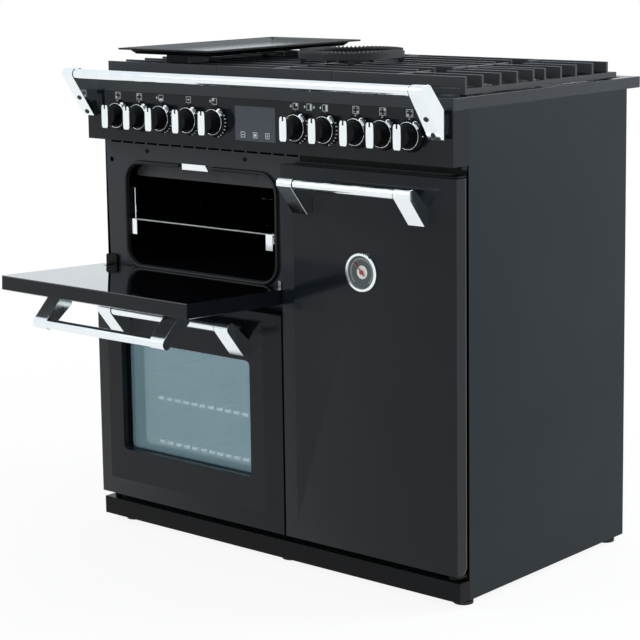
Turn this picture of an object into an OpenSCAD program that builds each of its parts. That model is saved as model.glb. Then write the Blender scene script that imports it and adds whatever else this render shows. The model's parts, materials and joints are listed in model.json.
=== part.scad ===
// Range cooker: five gas burners over a grill, a main oven and a tall oven.
// +Z is up and -Y is the front. The origin is on the floor under the middle of the hob.
// The grill door is drawn open, every other door is drawn closed.

/* [Cabinet] */
// Width across the side panels
body_w = 900; // [896:2:904]
// Depth of the hob rim from front to back
hob_d = 590; // [586:2:594]
// Height of the hob rim above the floor
hob_h = 900; // [896:1:904]
// Height of the hob rim itself
rim_h = 21; // [18:1:24]
// Thickness of the folded steel sheets
sheet_t = 1.5; // [1:0.1:2]
// Height of the plinth strip
plinth_h = 35; // [25:1:38]
// Radius of a levelling foot's pad
pad_r = 18; // [12:1:22]
// Radius of a levelling foot's threaded stem
stem_r = 5; // [4:0.5:6]

/* [Doors] */
// Width of the sloping border round each door
bevel_w = 38; // [25:1:45]
// How far the middle of each door stands proud of its edge
bevel_h = 10; // [6:1:12]
// Skin thickness of the doors
skin_t = 1.5; // [1:0.1:2]
// How far the grill door is drawn open, in degrees
grill_open = 87.4; // [0:0.1:87.4]
// Radius of the handle bars
handle_r = 9.5; // [7:0.5:10]
// Thickness of each oven window pane
glass_t = 4; // [3:0.5:5]
// Radius of the hinge pins
pin_r = 4; // [3:0.1:4]
// Radial running clearance round the hinge pins
pin_gap = 0.05; // [0.02:0.01:0.1]

/* [Ovens] */
// Wall thickness of the oven liners
liner_t = 1.2; // [0.8:0.1:2]
// Radius of the heavy rods of a shelf
shelf_rod_r = 3; // [2.6:0.1:3.2]
// Radius of the thin wires of a shelf
shelf_wire_r = 1.8; // [1.2:0.1:2.2]
// Number of thin wires on each shelf
shelf_wires = 15; // [8:1:20]
// Radius of an oven fan's blades
fan_r = 62; // [45:1:66]
// Number of blades on a fan
fan_blades = 10; // [6:1:14]

/* [Hob] */
// Thickness of the cast bars of the pan supports
bar_t = 6; // [4:0.5:8]
// Height of the top of the pan supports above the floor
support_top = 933; // [928:1:938]
// Number of teeth on the rim of the wok ring
wok_teeth = 72; // [48:4:72]

/* [Controls] */
// Radius of a knob's black face
knob_face_r = 24; // [20:0.5:24.5]
// Radius of the fixed collar behind each knob
collar_r = 25.2; // [24:0.1:27]
// Width of a knob's chrome grip
grip_w = 17; // [8:1:18]
// Height of a knob's chrome grip
grip_h = 44; // [36:1:46]
// Radius of the guard rail along the front of the hob
rail_r = 9.5; // [7:0.5:10]

/* [Hidden] */
$fn = 48;
enamel = "#26292d";
satin = "#3a3d3f";
chrome = "#d9dcde";
steel = "#9a9ea0";
cast_iron = "#2e3133";
rubber_black = "#1b1c1d";
half_w = body_w / 2;
front_y = -hob_d / 2;
rear_y = hob_d / 2;
rim_z0 = hob_h - rim_h;
frame_y = -252;
frame_back = frame_y + sheet_t;
back_y = 249;
side_z0 = 12;
flange_w = 20;
inner_w = half_w - sheet_t;
fascia_z0 = 783;
plinth_y = -280;
plinth_z0 = 13.5;
tray_z0 = 26;
tray_z1 = 45;
foot_places = [[-408, -236], [18, -236], [424.5, -236], [-408, 225], [424.5, 225]];

// Each oven: left, bottom, right, top, corner radius, back of the liner
grill = [-385, 533, 6, 733, 35, 150];
main = [-385, 112, 6, 455, 35, 190];
tall = [100, 112, 400, 715, 30, 190];
ovens = [grill, main, tall];
gasket_w = 8;
gasket_y = -258.7;

// Each door: left, bottom, right, top
grill_door = [-449, 485, 45, 762];
main_door = [-449, 62, 45, 481];
tall_door = [50, 62, 449.5, 762];
door_edge = -286;
door_front = door_edge - bevel_h;
door_seam = -261;
door_back = -259;
door_chamfer = 8;
arm_places = [-421, 17];
arm_half = 4;
notch_half = 5.5;
cheek_t = 3;
pivot_y = -279;
pivot_up = 23.6;
grill_pivot = grill_door[1] + pivot_up;
main_pivot = main_door[1] + pivot_up;
side_pivot = [437, -275];
plate_gap = 1;
plate_t = 3;
window_out = [-373, 163, -28, 387, 10];
window_in = [-344, 169, -58, 375, 10];
pane_y = -283;
inner_pane_y = -265;
gauge_at = [249.75, 584.5];

handle_y = -343;
handle_drop = 25;
leg_w = 35;
nose_r = 11;
left_handle = [-376, -28];
right_handle = [99.75, 399.75];

// Burner places: x, y, radius of the base
burners = [[-290, -118, 27], [-290, 120, 37], [290, -118, 37], [290, 120, 48]];
wok_at = [0, -20];
wok_r = 62;
well_x = 432;
well_y = 256;
well_z = 893;
support_y0 = -247;
support_y1 = 229;
support_x = 439;
split_x = 142;
split_gap = 0.3;
base_bar = 10;
cap_top = 911;
bar_ys = [-195.6, -143.3, -92.8, -43, -7, 44, 92.7, 147.5, 196.7];

knob_xs = [-360, -300.5, -241, -169, -101, 101, 169, 241, 300.5, 360];
gas_knobs = [0, 1, 2, 7, 8, 9];
knob_z = 833;
collar_d = 8;
free_gap = 0.3;
display = [-52, 801.5, 48, 866];
rail_y = -358.5;
rail_z = 915.5;
rail_half = 412;
bracket_w = 28;
bracket_nose = 10.5;
pipe_z = 852;
pipe_r = 4;
pipe_xs = [-305, -275, 0, 275, 305];
inlet_x = -400;
inlet_r = 10.48;

// A box from its low corner to its high corner
module block(lo, hi) {
    translate(lo) cube(hi - lo);
}

// A flat (y, z) outline drawn out from x0 to x1
module along_x(x0, x1) {
    translate([x0, 0, 0]) rotate([90, 0, 90]) linear_extrude(x1 - x0) children();
}

// A flat (x, z) outline drawn out from y0 to y1
module along_y(y0, y1) {
    translate([0, y1, 0]) rotate([90, 0, 0]) linear_extrude(y1 - y0) children();
}

// A flat (x, y) outline drawn out from z0 to z1
module along_z(z0, z1) {
    translate([0, 0, z0]) linear_extrude(z1 - z0) children();
}

module rod_x(x0, x1, y, z, r) {
    translate([x0, y, z]) rotate([0, 90, 0]) cylinder(r = r, h = x1 - x0);
}

module rod_y(x, y0, y1, z, r) {
    translate([x, y1, z]) rotate([90, 0, 0]) cylinder(r = r, h = y1 - y0);
}

module rod_z(x, y, z0, z1, r) {
    translate([x, y, z0]) cylinder(r = r, h = z1 - z0);
}

// A rectangle from corner lo to corner hi, its corners rounded to radius r
module round_rect(lo, hi, r) {
    translate([lo.x + r, lo.y]) square([hi.x - lo.x - 2 * r, hi.y - lo.y]);
    translate([lo.x, lo.y + r]) square([hi.x - lo.x, hi.y - lo.y - 2 * r]);
    for (x = [lo.x + r, hi.x - r], y = [lo.y + r, hi.y - r]) translate([x, y]) circle(r);
}

// The mouth of an oven, grown outwards by g
module mouth(o, g = 0) {
    round_rect([o[0] - g, o[1] - g], [o[2] + g, o[3] + g], o[4] + g);
}

// Where the straight line from p touches a circle, on its side s (1 or -1)
function touch(c, r, p, s) =
    let (d = p - c, a = atan2(d.y, d.x) + s * acos(r / norm(d))) c + r * [cos(a), sin(a)];

// ---------------------------------------------------------------- cabinet

module side_panel() {
    difference() {
        block([half_w - flange_w, frame_y, side_z0], [half_w, back_y, rim_z0]);
        block(
            [half_w - flange_w - 1, frame_y - 1, side_z0 + sheet_t],
            [inner_w, back_y - sheet_t, rim_z0 - sheet_t]
        );
    }
}

module side_panel_right() color(satin) side_panel();

module side_panel_left() color(satin) mirror([1, 0, 0]) side_panel();

// Closes the back between the side panels, with rows of cooling slots
module back_panel() color(steel) difference() {
    block([-inner_w, back_y - 2 * sheet_t, tray_z1], [inner_w, back_y - sheet_t, rim_z0 - sheet_t]);
    for (z = [770, 786, 802, 818], x = [-300:75:300])
        block([x - 26, back_y - 2 * sheet_t - 1, z - 3], [x + 26, back_y, z + 3]);
    rod_y(inlet_x, back_y - 2 * sheet_t - 1, back_y, pipe_z, inlet_r + 0.5);
}

module base_tray() color(steel) difference() {
    union() {
        block([-inner_w, frame_back, tray_z0], [inner_w, back_y - sheet_t, tray_z1]);
        for (p = foot_places) rod_z(p.x, p.y, tray_z0 - 12, tray_z0 + 1, 2 * stem_r);
    }
    block(
        [-inner_w + sheet_t, frame_back + sheet_t, tray_z0 + sheet_t],
        [inner_w - sheet_t, back_y - 2 * sheet_t, tray_z1 + 1]
    );
    for (p = foot_places) rod_z(p.x, p.y, tray_z0 - 13, tray_z0 + sheet_t + 1, stem_r + pin_gap);
}

module plinth() color(enamel) difference() {
    block([-half_w, plinth_y, plinth_z0], [half_w, frame_y, plinth_z0 + plinth_h]);
    block(
        [-inner_w, plinth_y + sheet_t, plinth_z0 - 1],
        [inner_w, frame_y + 1, plinth_z0 + plinth_h - sheet_t]
    );
}

module levelling_feet() color(rubber_black) for (p = foot_places) {
    rod_z(p.x, p.y, 0, 6, pad_r);
    translate([p.x, p.y, 6]) cylinder(r1 = pad_r, r2 = 2 * stem_r, h = 4);
    rod_z(p.x, p.y, 9, tray_z0 + 12, stem_r);
}

// The steel front that the doors close against
module front_frame() color(enamel) along_y(frame_y, frame_back) difference() {
    translate([-inner_w, side_z0 + sheet_t])
        square([2 * inner_w, rim_z0 - side_z0 - 2 * sheet_t]);
    for (o = ovens) mouth(o);
    for (i = [0:14]) translate([-431 + i * 33.3, 773]) square([28.5, 6]);
    translate([68.5, 766]) square([367, 14]);
    for (x = arm_places, z = [grill_pivot, main_pivot])
        translate([x - arm_half - 0.3, z - 3.3]) square([2 * arm_half + 0.6, 14.6]);
    translate([-431, 738]) circle(5);
    for (x = pipe_xs) translate([x, pipe_z]) circle(pipe_r + 1);
    translate([inlet_x, pipe_z]) circle(9);
}

module hob_tray() color(enamel) difference() {
    union() {
        difference() {
            block([-half_w, front_y, rim_z0], [half_w, rear_y, hob_h]);
            block(
                [-inner_w, front_y + sheet_t, rim_z0 - 1],
                [inner_w, rear_y - sheet_t, hob_h - sheet_t]
            );
        }
        block(
            [-well_x - sheet_t, -well_y - sheet_t, well_z - sheet_t],
            [well_x + sheet_t, well_y + sheet_t, hob_h]
        );
    }
    block([-well_x, -well_y, well_z], [well_x, well_y, hob_h + 1]);
    for (b = burners) rod_z(b.x, b.y, well_z - 3, well_z + 1, 15);
    rod_z(wok_at.x, wok_at.y, well_z - 3, well_z + 1, 15);
}

module fascia_panel() color(enamel) difference() {
    block([-half_w, front_y, fascia_z0], [half_w, frame_y, rim_z0]);
    block(
        [-inner_w, front_y + sheet_t, fascia_z0 + sheet_t],
        [inner_w, frame_y + 1, rim_z0 - sheet_t]
    );
    for (x = knob_xs) rod_y(x, front_y - 1, front_y + sheet_t + 1, knob_z, 5);
    block([display[0], front_y - 1, display[1]], [display[2], front_y + 3, display[3]]);
}

module display_glass() color("#3b4046") {
    block(
        [display[0] + free_gap, front_y - 0.4, display[1] + free_gap],
        [display[2] - free_gap, front_y + sheet_t + 1, display[3] - free_gap]
    );
    block(
        [display[0] - 6, front_y + sheet_t, display[1] - 6],
        [display[2] + 6, front_y + sheet_t + 3, display[3] + 6]
    );
}

module rail_bar() color(chrome) rod_x(-rail_half, rail_half, rail_y, rail_z, rail_r);

// Side outline (y, z) of a rail bracket: a round nose on a slanting wedge
module bracket_outline() {
    c = [rail_y, rail_z];
    heel_r = 8;
    heel = [rail_y + 10, rail_z + bracket_nose - heel_r];
    low = [-314, 831];
    top = [-305, rim_z0];
    translate(c) circle(bracket_nose);
    translate(heel) circle(heel_r);
    polygon([
        touch(c, bracket_nose, low, -1), low, [-305, 830], top,
        touch(heel, heel_r, top, 1), heel + [0, heel_r], c + [0, bracket_nose]
    ]);
}

module rail_brackets() color(chrome) for (s = [0, 1]) mirror([s, 0, 0]) {
    along_x(rail_half, rail_half + bracket_w) bracket_outline();
    block([rail_half + 4, -306, 838], [rail_half + bracket_w - 4, front_y, 872]);
}

// Two screws on the slanting face of each bracket, and those in the frame and the back
module frame_screws() color(chrome) {
    face = touch([rail_y, rail_z], bracket_nose, [-314, 831], -1);
    lean = atan2(-314 - face.x, face.y - 831);
    for (x = [-426, 426], k = [0.54, 0.9])
        translate([x, face.x + k * (-314 - face.x), face.y + k * (831 - face.y)])
            rotate([90 + lean, 0, 0]) cylinder(r = 3.6, h = 1.4);
    for (x = [-330.5, -70]) rod_y(x, frame_y - 2.2, frame_y, 760, 4);
    for (x = [-437, 437], z = [100, 450, 800]) rod_y(x, back_y, back_y + 2, z, 4);
}

// Fixed collar round the foot of each knob
module knob_collars() color(chrome) for (x = knob_xs)
    translate([x, front_y, knob_z]) rotate([90, 0, 0]) difference() {
        cylinder(r = collar_r, h = collar_d);
        translate([0, 0, -1]) cylinder(r = 5, h = collar_d + 2);
    }

// ---------------------------------------------------------------- ovens

// A steel box open at the front, its back plate pierced at each place in holes
module liner(o, holes = [], r = 5) {
    difference() {
        along_y(frame_back, o[5]) mouth(o, liner_t);
        along_y(frame_back - 1, o[5] - liner_t) mouth(o);
        for (p = holes) rod_y(p.x, o[5] - liner_t - 1, o[5] + 1, p.y, r);
    }
}

main_fan = [-189.5, 283.5];
tall_fan = [250, 330];
main_lamp = [-60, 402];
tall_lamp = [340, 662];

module grill_cavity() color("#202225") liner(grill);

module main_cavity() color("#202225") liner(main, [main_fan]);

module tall_cavity() color("#202225") liner(tall, [tall_fan]);

module cavity_gaskets() color(rubber_black) along_y(gasket_y, frame_y) difference() {
    for (o = ovens) mouth(o, gasket_w);
    for (o = ovens) mouth(o);
    translate([-237, 729]) square([82, 16]);
}

// Striker plates above the grill and the main oven, and beside the tall oven
module door_catches() color(chrome) {
    along_y(-257.5, frame_y)
        polygon([[-230, 731], [-160.5, 731], [-168.5, 742.5], [-230, 742.5]]);
    block([-235, -257.5, 463.5], [-166, frame_y, 474]);
    block([76, -257.5, 400], [88, frame_y, 440]);
}

// Heater rods under the grill's roof, with the shield in front of them
module grill_element() {
    color("#6b6f70") {
        along_y(-232, -230.8) intersection() {
            mouth(grill, -0.6);
            translate([-380, 707]) square([390, 27]);
        }
        for (y = [-170:50:80]) rod_x(-340, -40, y, 712, 3.3);
        for (y = [-170:100:80]) rod_y(-340, y, y + 50, 712, 3.6);
        for (y = [-120:100:30]) rod_y(-40, y, y + 50, 712, 3.6);
        rod_y(-40, 80, grill[5] - liner_t, 712, 3.6);
        rod_y(-40, -170, -165, 712, 3.6);
        rod_z(-340, -170, 712, 732.7, 2.5);
    }
}

// Wire frames on the side walls of an oven, a rail under each shelf height in levels,
// reaching forward to y0 and up to z1
module ladder_pair(o, levels, y0, z1) {
    for (w = [[o[0], 1], [o[2], -1]]) {
        for (y = [y0, (y0 + 130) / 2, 130])
            rod_z(w.x + 4 * w.y, y, min(levels) - 18, z1, 2.5);
        rod_x(min(w.x, w.x + 4 * w.y), max(w.x, w.x + 4 * w.y), y0, z1, 2.5);
        for (z = levels) rod_y(w.x + 7 * w.y, y0 - 2, 138, z - 5.7, 2.4);
    }
}

grill_levels = [621.5, 640.5, 653.5];
main_levels = [167, 212, 257, 310, 360];
tall_levels = [170, 230, 290, 345, 405, 465, 525, 584];

module shelf_ladders() color(chrome) {
    ladder_pair(grill, grill_levels, -238, 683);
    ladder_pair(main, main_levels, -204, max(main_levels) + 18);
    ladder_pair(tall, tall_levels, -204, max(tall_levels) + 18);
}

// A shelf of wires from x0 to x1 and y0 to y1 at height z
module wire_shelf(x0, x1, y0, y1, z, end_r = shelf_rod_r) {
    for (y = [y0, y1]) rod_x(x0 - 5, x1 + 5, y, z, end_r);
    for (x = [x0, x1]) rod_y(x, y0, y1, z, 2.4);
    step = (x1 - x0) / (shelf_wires + 1);
    for (i = [1:shelf_wires]) rod_y(x0 + i * step, y0, y1, z, shelf_wire_r);
}

module oven_shelves() color(chrome) {
    for (z = [167, 257]) wire_shelf(main[0] + 12, main[2] - 12, -220, 132, z);
    for (z = [230, 405, 584]) wire_shelf(tall[0] + 12, tall[2] - 12, -220, 132, z);
}

// Perforated plate in front of an oven fan at c, with a hole for the lamp at l
module fan_cover(o, c, l) {
    cover_y = 150;
    along_y(cover_y, cover_y + 1.2) difference() {
        round_rect([o[0] + 5, o[1] + 5], [o[2] - 5, o[3] - 5], 28);
        translate(c) for (a = [0:24:336]) rotate(a) translate([20, -2.5]) square([30, 5]);
        for (s = [-1, 1], z = [-60, 0, 60]) translate([c.x + s * 118 - 4, c.y + z - 22])
            square([8, 44]);
        translate(l) circle(17);
    }
    for (s = [-1, 1], t = [-1, 1])
        rod_y(c.x + s * 85, cover_y + 1.2, o[5] - liner_t, c.y + t * 85, 4);
}

module fan_covers() color("#3b3f42") {
    fan_cover(main, main_fan, main_lamp);
    fan_cover(tall, tall_fan, tall_lamp);
}

module oven_lamps() color("#cfd6d8") for (q = [[main_lamp, main], [tall_lamp, tall]]) {
    rod_y(q[0].x, 145, 150, q[0].y, 20);
    rod_y(q[0].x, 149, q[1][5] - liner_t, q[0].y, 16);
}

// Motors behind the back plates, each with a bore for its fan's shaft
module fan_motors() color(steel) for (c = [main_fan, tall_fan]) difference() {
    rod_y(c.x, 190, 230, c.y, 32);
    rod_y(c.x, 189, 226, c.y, pin_r + pin_gap);
}

module fan(c) {
    rod_y(c.x, 158, 222, c.y, pin_r);
    rod_y(c.x, 158, 174, c.y, 12);
    rod_y(c.x, 172.5, 174, c.y, fan_r);
    translate([c.x, 0, c.y]) for (i = [0:fan_blades - 1])
        rotate([0, i * 360 / fan_blades, 0]) block([8, 158, -1], [fan_r, 173, 1]);
}

module main_oven_fan() color(steel) fan(main_fan);

module tall_oven_fan() color(steel) fan(tall_fan);

// ---------------------------------------------------------------- hinges and doors

// Hinge arm fixed in the front frame: an eye with its pin, a neck and a stop plate
module hinge_arm(x, z) {
    along_x(x - arm_half, x + arm_half) {
        translate([pivot_y, z]) circle(8);
        translate([pivot_y, z - 3]) square([54, 14]);
    }
    rod_x(x - 9, x + 9, pivot_y, z, pin_r);
    block([x - 9, frame_back, z - 9], [x + 9, frame_back + 3, z + 17]);
}

// Flat plate at height z0 that carries a pin of the tall door
module side_plate(z0, pin_z0, pin_z1, lip_z0) {
    block([425, side_pivot.y, z0], [447, frame_y, z0 + plate_t]);
    rod_z(side_pivot.x, side_pivot.y, z0, z0 + plate_t, 10.5);
    rod_z(side_pivot.x, side_pivot.y, pin_z0, pin_z1, pin_r);
    block([425, frame_y - 2, lip_z0], [447, frame_y, lip_z0 + 10]);
}

module hinge_arms() color(steel) {
    for (x = arm_places, z = [grill_pivot, main_pivot]) hinge_arm(x, z);
    top = tall_door[3] + plate_gap;
    low = tall_door[1] - plate_gap - plate_t - 1;
    side_plate(top, top - 13, top + 1, top + 1);
    side_plate(low, low + 1, low + 16, low - 8);
    block([arm_places[1] - 2.5, frame_y - 6, 521], [arm_places[1] + 4.5, frame_y, 539]);
    along_y(frame_y - 6.5, frame_y) round_rect([-449.5, 523], [-419, 547], 5);
}

// The front skin's side outline (y, z), z0 to z1, inset by i
module skin_side(z0, z1, i) {
    k = i * (sqrt(bevel_h * bevel_h + bevel_w * bevel_w) - bevel_h) / bevel_w;
    n = i * (sqrt(bevel_h * bevel_h + bevel_w * bevel_w) - bevel_w) / bevel_h;
    open = i > 0 ? 6 : 0;
    cut = i > 0 ? 0 : door_chamfer;
    polygon([
        [door_edge + k, z0 + i], [door_front + i, z0 + bevel_w + n],
        [door_front + i, z1 - bevel_w - n], [door_edge + k, z1 - i],
        [door_seam + open, z1 - i], [door_seam + open, z0 + i + (cut > 0 ? cut + 2.8 : 0)],
        [door_seam - cut, z0 + i + (cut > 0 ? 2.8 : 0)], [door_seam - cut, z0 + i]
    ]);
}

// The same in plan (x, y) between x0 and x1
module skin_plan(x0, x1, i) {
    k = i * (sqrt(bevel_h * bevel_h + bevel_w * bevel_w) - bevel_h) / bevel_w;
    n = i * (sqrt(bevel_h * bevel_h + bevel_w * bevel_w) - bevel_w) / bevel_h;
    open = i > 0 ? 6 : 0;
    polygon([
        [x0 + i, door_edge + k], [x0 + bevel_w + n, door_front + i],
        [x1 - bevel_w - n, door_front + i], [x1 - i, door_edge + k],
        [x1 - i, door_seam + open], [x0 + i, door_seam + open]
    ]);
}

module skin_solid(d, i) intersection() {
    along_x(d[0] - 1, d[2] + 1) skin_side(d[1], d[3], i);
    along_z(d[1] - 1, d[3] + 1) skin_plan(d[0], d[2], i);
}

// The hollow front of a door, open at the back
module door_skin(d) difference() {
    skin_solid(d, 0);
    skin_solid(d, skin_t);
}

// Room in a drop-down door for the hinge arms
module arm_notches(z0) for (x = arm_places) {
    rod_x(x - notch_half, x + notch_half, pivot_y, z0 + pivot_up, 9);
    block([x - notch_half, door_edge + 3, z0 - 1], [x + notch_half, -254, z0 + pivot_up + 12]);
}

// The panel that closes the back of a door, folded forward along its bottom edge
module door_liner(d) along_x(d[0], d[2]) polygon([
    [door_seam, d[3]], [door_back, d[3]], [door_back, d[1] + door_chamfer + 2],
    [door_seam - door_chamfer, d[1]], [door_seam - door_chamfer, d[1] + 2.8],
    [door_seam, d[1] + door_chamfer + 2.8]
]);

// Cheeks on both sides of each notch, bored to turn on the hinge arm's pin
module hinge_cheeks(z0) {
    z = z0 + pivot_up;
    for (x = arm_places, s = [-1, 1])
        along_x(
            x + (s > 0 ? notch_half : -notch_half - cheek_t),
            x + (s > 0 ? notch_half + cheek_t : -notch_half)
        ) difference() {
            union() {
                translate([pivot_y, z]) circle(9);
                translate([pivot_y, z - 9]) square([door_seam - pivot_y + 1, 18]);
            }
            translate([pivot_y, z]) circle(pin_r + pin_gap);
        }
}

module drop_door_inner(d) {
    difference() {
        door_liner(d);
        arm_notches(d[1]);
    }
    hinge_cheeks(d[1]);
}

// Side outline (y, z) of a handle's leg, for a bar at height z
module leg_outline(z) {
    c = [handle_y, z];
    low = [-311, z - 57];
    top = [door_front, z - 28];
    translate(c) circle(nose_r);
    polygon([
        touch(c, nose_r, low, -1), low, [door_front, z - 57], top,
        touch(c, nose_r, top, 1)
    ]);
}

module door_handle(h, z) {
    for (x = [h[0], h[1] - leg_w]) along_x(x, x + leg_w) leg_outline(z);
    rod_x(h[0] + leg_w - 1, h[1] - leg_w + 1, handle_y, z, handle_r);
}

// Swings what is drawn closed to where the grill door stands
module grill_pose() {
    translate([0, pivot_y, grill_pivot]) rotate([grill_open, 0, 0])
        translate([0, -pivot_y, -grill_pivot]) children();
}

module grill_door_outer() color(enamel) grill_pose() difference() {
    door_skin(grill_door);
    arm_notches(grill_door[1]);
}

module grill_door_inner() color(enamel) grill_pose() drop_door_inner(grill_door);

module grill_handle() color(chrome) grill_pose()
    door_handle(left_handle, grill_door[3] - handle_drop);

module window(w, g = 0) {
    round_rect([w[0] - g, w[1] - g], [w[2] + g, w[3] + g], w[4] + g);
}

module main_door_outer() color(enamel) {
    difference() {
        door_skin(main_door);
        arm_notches(main_door[1]);
        along_y(door_front - 1, door_front + skin_t + 1) window(window_out);
    }
    along_y(door_front + skin_t / 2, pane_y) difference() {
        window(window_out, skin_t);
        window(window_out);
    }
}

module main_door_inner() color(enamel) difference() {
    drop_door_inner(main_door);
    along_y(door_seam - 1, door_back + 1) window(window_in);
}

module main_door_glass() color([0.45, 0.55, 0.58, 0.4]) {
    along_y(pane_y, pane_y + glass_t) window(window_out, 8);
    along_y(door_seam - glass_t, door_seam) window(window_in, 8);
}

module main_handle() color(chrome) door_handle(left_handle, main_door[3] - handle_drop);

module tall_door_outer() color(enamel) difference() {
    door_skin(tall_door);
    for (z = [tall_door[1] - 1, tall_door[3] - 3])
        rod_z(side_pivot.x, side_pivot.y, z, z + 4, pin_r + 1);
    rod_y(gauge_at.x, door_front - 1, door_front + 3, gauge_at.y, 6);
}

module tall_door_inner() color(enamel) difference() {
    union() {
        door_liner(tall_door);
        block([426, -283, tall_door[1] + 1.6], [447, door_seam + 1, tall_door[1] + 14]);
        block([426, -283, tall_door[3] - 14], [447, door_seam + 1, tall_door[3] - 1.6]);
    }
    rod_z(side_pivot.x, side_pivot.y, tall_door[1] - 1, tall_door[1] + 15, pin_r + pin_gap);
    rod_z(side_pivot.x, side_pivot.y, tall_door[3] - 15, tall_door[3] + 1, pin_r + pin_gap);
    rod_y(gauge_at.x, door_seam - 1, door_back + 1, gauge_at.y, 6);
}

module tall_handle() color(chrome) door_handle(right_handle, tall_door[3] - handle_drop);

// Oven thermometer: chrome ring, dial and the probe that reaches into the oven
module gauge_case() {
    color(chrome) along_y(door_front - 6.5, door_front) translate(gauge_at) difference() {
        circle(35);
        circle(30);
    }
    color("#1b1d20") difference() {
        union() {
            along_y(door_front - 2.5, door_front) translate(gauge_at) circle(30.5);
            rod_y(gauge_at.x, door_front - 1, -244, gauge_at.y, 3.2);
        }
        rod_y(gauge_at.x, door_front - 3, door_front - 0.5, gauge_at.y, 1.55);
    }
}

module gauge_needle() color("#b5302a") {
    rod_y(gauge_at.x, door_front - 4.6, door_front - 0.8, gauge_at.y, 1.5);
    rod_y(gauge_at.x, door_front - 4.6, door_front - 3.2, gauge_at.y, 4);
    translate([gauge_at.x, 0, gauge_at.y]) rotate([0, -135, 0])
        block([-9, door_front - 4.2, -0.9], [24, door_front - 3.4, 0.9]);
}

// ---------------------------------------------------------------- hob

// Fluted crown of a burner between z0 and z1
module crown(r, z0, z1) along_z(z0, z1) difference() {
    circle(r);
    for (a = [0:20:340]) rotate(a) translate([r - 5, -0.9]) square([8, 1.8]);
}

module burner_bases() {
    color(steel) {
        for (b = burners) {
            rod_z(b.x, b.y, well_z, well_z + 9, b[2]);
            translate([b.x, b.y, 0]) crown(b[2] - 3, well_z + 9, well_z + 12);
            rod_z(b.x, b.y, well_z - 11, well_z, 13);
        }
        rod_z(wok_at.x, wok_at.y, well_z, well_z + 8, wok_r);
        translate([wok_at.x, wok_at.y, 0]) crown(22, well_z + 8, well_z + 12);
        translate([wok_at.x, wok_at.y, 0]) difference() {
            crown(wok_r - 3, well_z + 7, well_z + 12);
            rod_z(0, 0, well_z + 8, well_z + 13, wok_r - 22);
        }
        rod_z(wok_at.x, wok_at.y, well_z - 11, well_z, 13);
    }
    // Spark electrodes beside the burners
    color("white") {
        for (b = burners) {
            rod_z(b.x + b[2] + 5, b.y, well_z, well_z + 9, 3);
            rod_z(b.x + b[2] + 5, b.y, well_z + 9, well_z + 14, 1);
        }
        rod_z(wok_at.x + wok_r + 5, wok_at.y, well_z, well_z + 9, 3);
        rod_z(wok_at.x + wok_r + 5, wok_at.y, well_z + 9, well_z + 14, 1);
    }
}

module burner_caps() color(cast_iron) {
    for (b = burners) {
        rod_z(b.x, b.y, well_z + 12, cap_top - 2, b[2] - 1);
        translate([b.x, b.y, cap_top - 2]) cylinder(r1 = b[2] - 1, r2 = b[2] - 4, h = 2);
    }
    rod_z(wok_at.x, wok_at.y, well_z + 12, cap_top, 24);
    translate([wok_at.x, wok_at.y, 0]) difference() {
        rod_z(0, 0, well_z + 12, cap_top, wok_r - 1);
        rod_z(0, 0, well_z + 11, cap_top + 1, wok_r - 24);
    }
}

// Cast grid from x0 to x1, its cross bars stopping short of the burner centres in cs
module pan_support(x0, x1, cs, clear) {
    bar_z0 = cap_top + 3;
    difference() {
        block([x0, support_y0, well_z + 9], [x1, support_y1, well_z + 19]);
        block(
            [x0 + base_bar, support_y0 + base_bar, well_z + 8],
            [x1 - base_bar, support_y1 - base_bar, well_z + 20]
        );
    }
    for (x = [x0 + 15, x1 - 15], y = [support_y0 + 15, support_y1 - 15])
        rod_z(x, y, well_z + free_gap, well_z + 10, 6);
    difference() {
        for (y = concat([support_y0 + bar_t / 2], bar_ys)) {
            block([x0, y - bar_t / 2, bar_z0], [x1, y + bar_t / 2, support_top]);
            for (x = [x0, x1 - base_bar])
                block([x, y - bar_t / 2, well_z + 12], [x + base_bar, y + bar_t / 2, support_top]);
        }
        for (c = cs) block(
            [c.x - clear, c.y - clear, bar_z0 - 1], [c.x + clear, c.y + clear, support_top + 1]
        );
    }
    difference() {
        block(
            [(x0 + x1 - bar_t) / 2, support_y0, bar_z0],
            [(x0 + x1 + bar_t) / 2, bar_ys[8], support_top]
        );
        for (c = cs) block(
            [c.x - clear, c.y - clear, bar_z0 - 1], [c.x + clear, c.y + clear, support_top + 1]
        );
    }
}

module pan_support_left() color(cast_iron)
    pan_support(-support_x, -split_x - split_gap, [burners[0], burners[1]], 33);

module pan_support_centre() color(cast_iron)
    pan_support(-split_x + split_gap, split_x - split_gap, [wok_at], 46);

module pan_support_right() color(cast_iron)
    pan_support(split_x + split_gap, support_x, [burners[2], burners[3]], 33);

griddle_lo = [-414, -246];
griddle_hi = [-163, 210];
flange_r = 7;

// A tray with sloping walls, inset from the griddle's edge by low at z0 and by top at z1
module griddle_form(low, top, z0, z1) intersection() {
    along_x(griddle_lo.x, griddle_hi.x) polygon([
        [griddle_lo.y + low, z0], [griddle_hi.y - low, z0],
        [griddle_hi.y - top, z1], [griddle_lo.y + top, z1]
    ]);
    along_y(griddle_lo.y, griddle_hi.y) polygon([
        [griddle_lo.x + low, z0], [griddle_hi.x - low, z0],
        [griddle_hi.x - top, z1], [griddle_lo.x + top, z1]
    ]);
    along_z(z0, z1) round_rect(griddle_lo + [top, top], griddle_hi - [top, top], 12);
}

// Shallow cast tray with a thin flange, standing on a block in front and two studs behind
module griddle_plate() color("#3d4144") {
    difference() {
        union() {
            along_z(956, 959) round_rect(griddle_lo, griddle_hi, flange_r);
            griddle_form(27, 16.5, 947, 956.5);
        }
        griddle_form(28, 18, 950.5, 959.5);
    }
    block([-299, -223, support_top + free_gap], [-241, -165, 947.5]);
    for (x = [-376, -201]) rod_z(x, bar_ys[7], support_top + free_gap, 947.5, 7);
}

ring_z0 = 941;
ring_z1 = 954;

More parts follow.
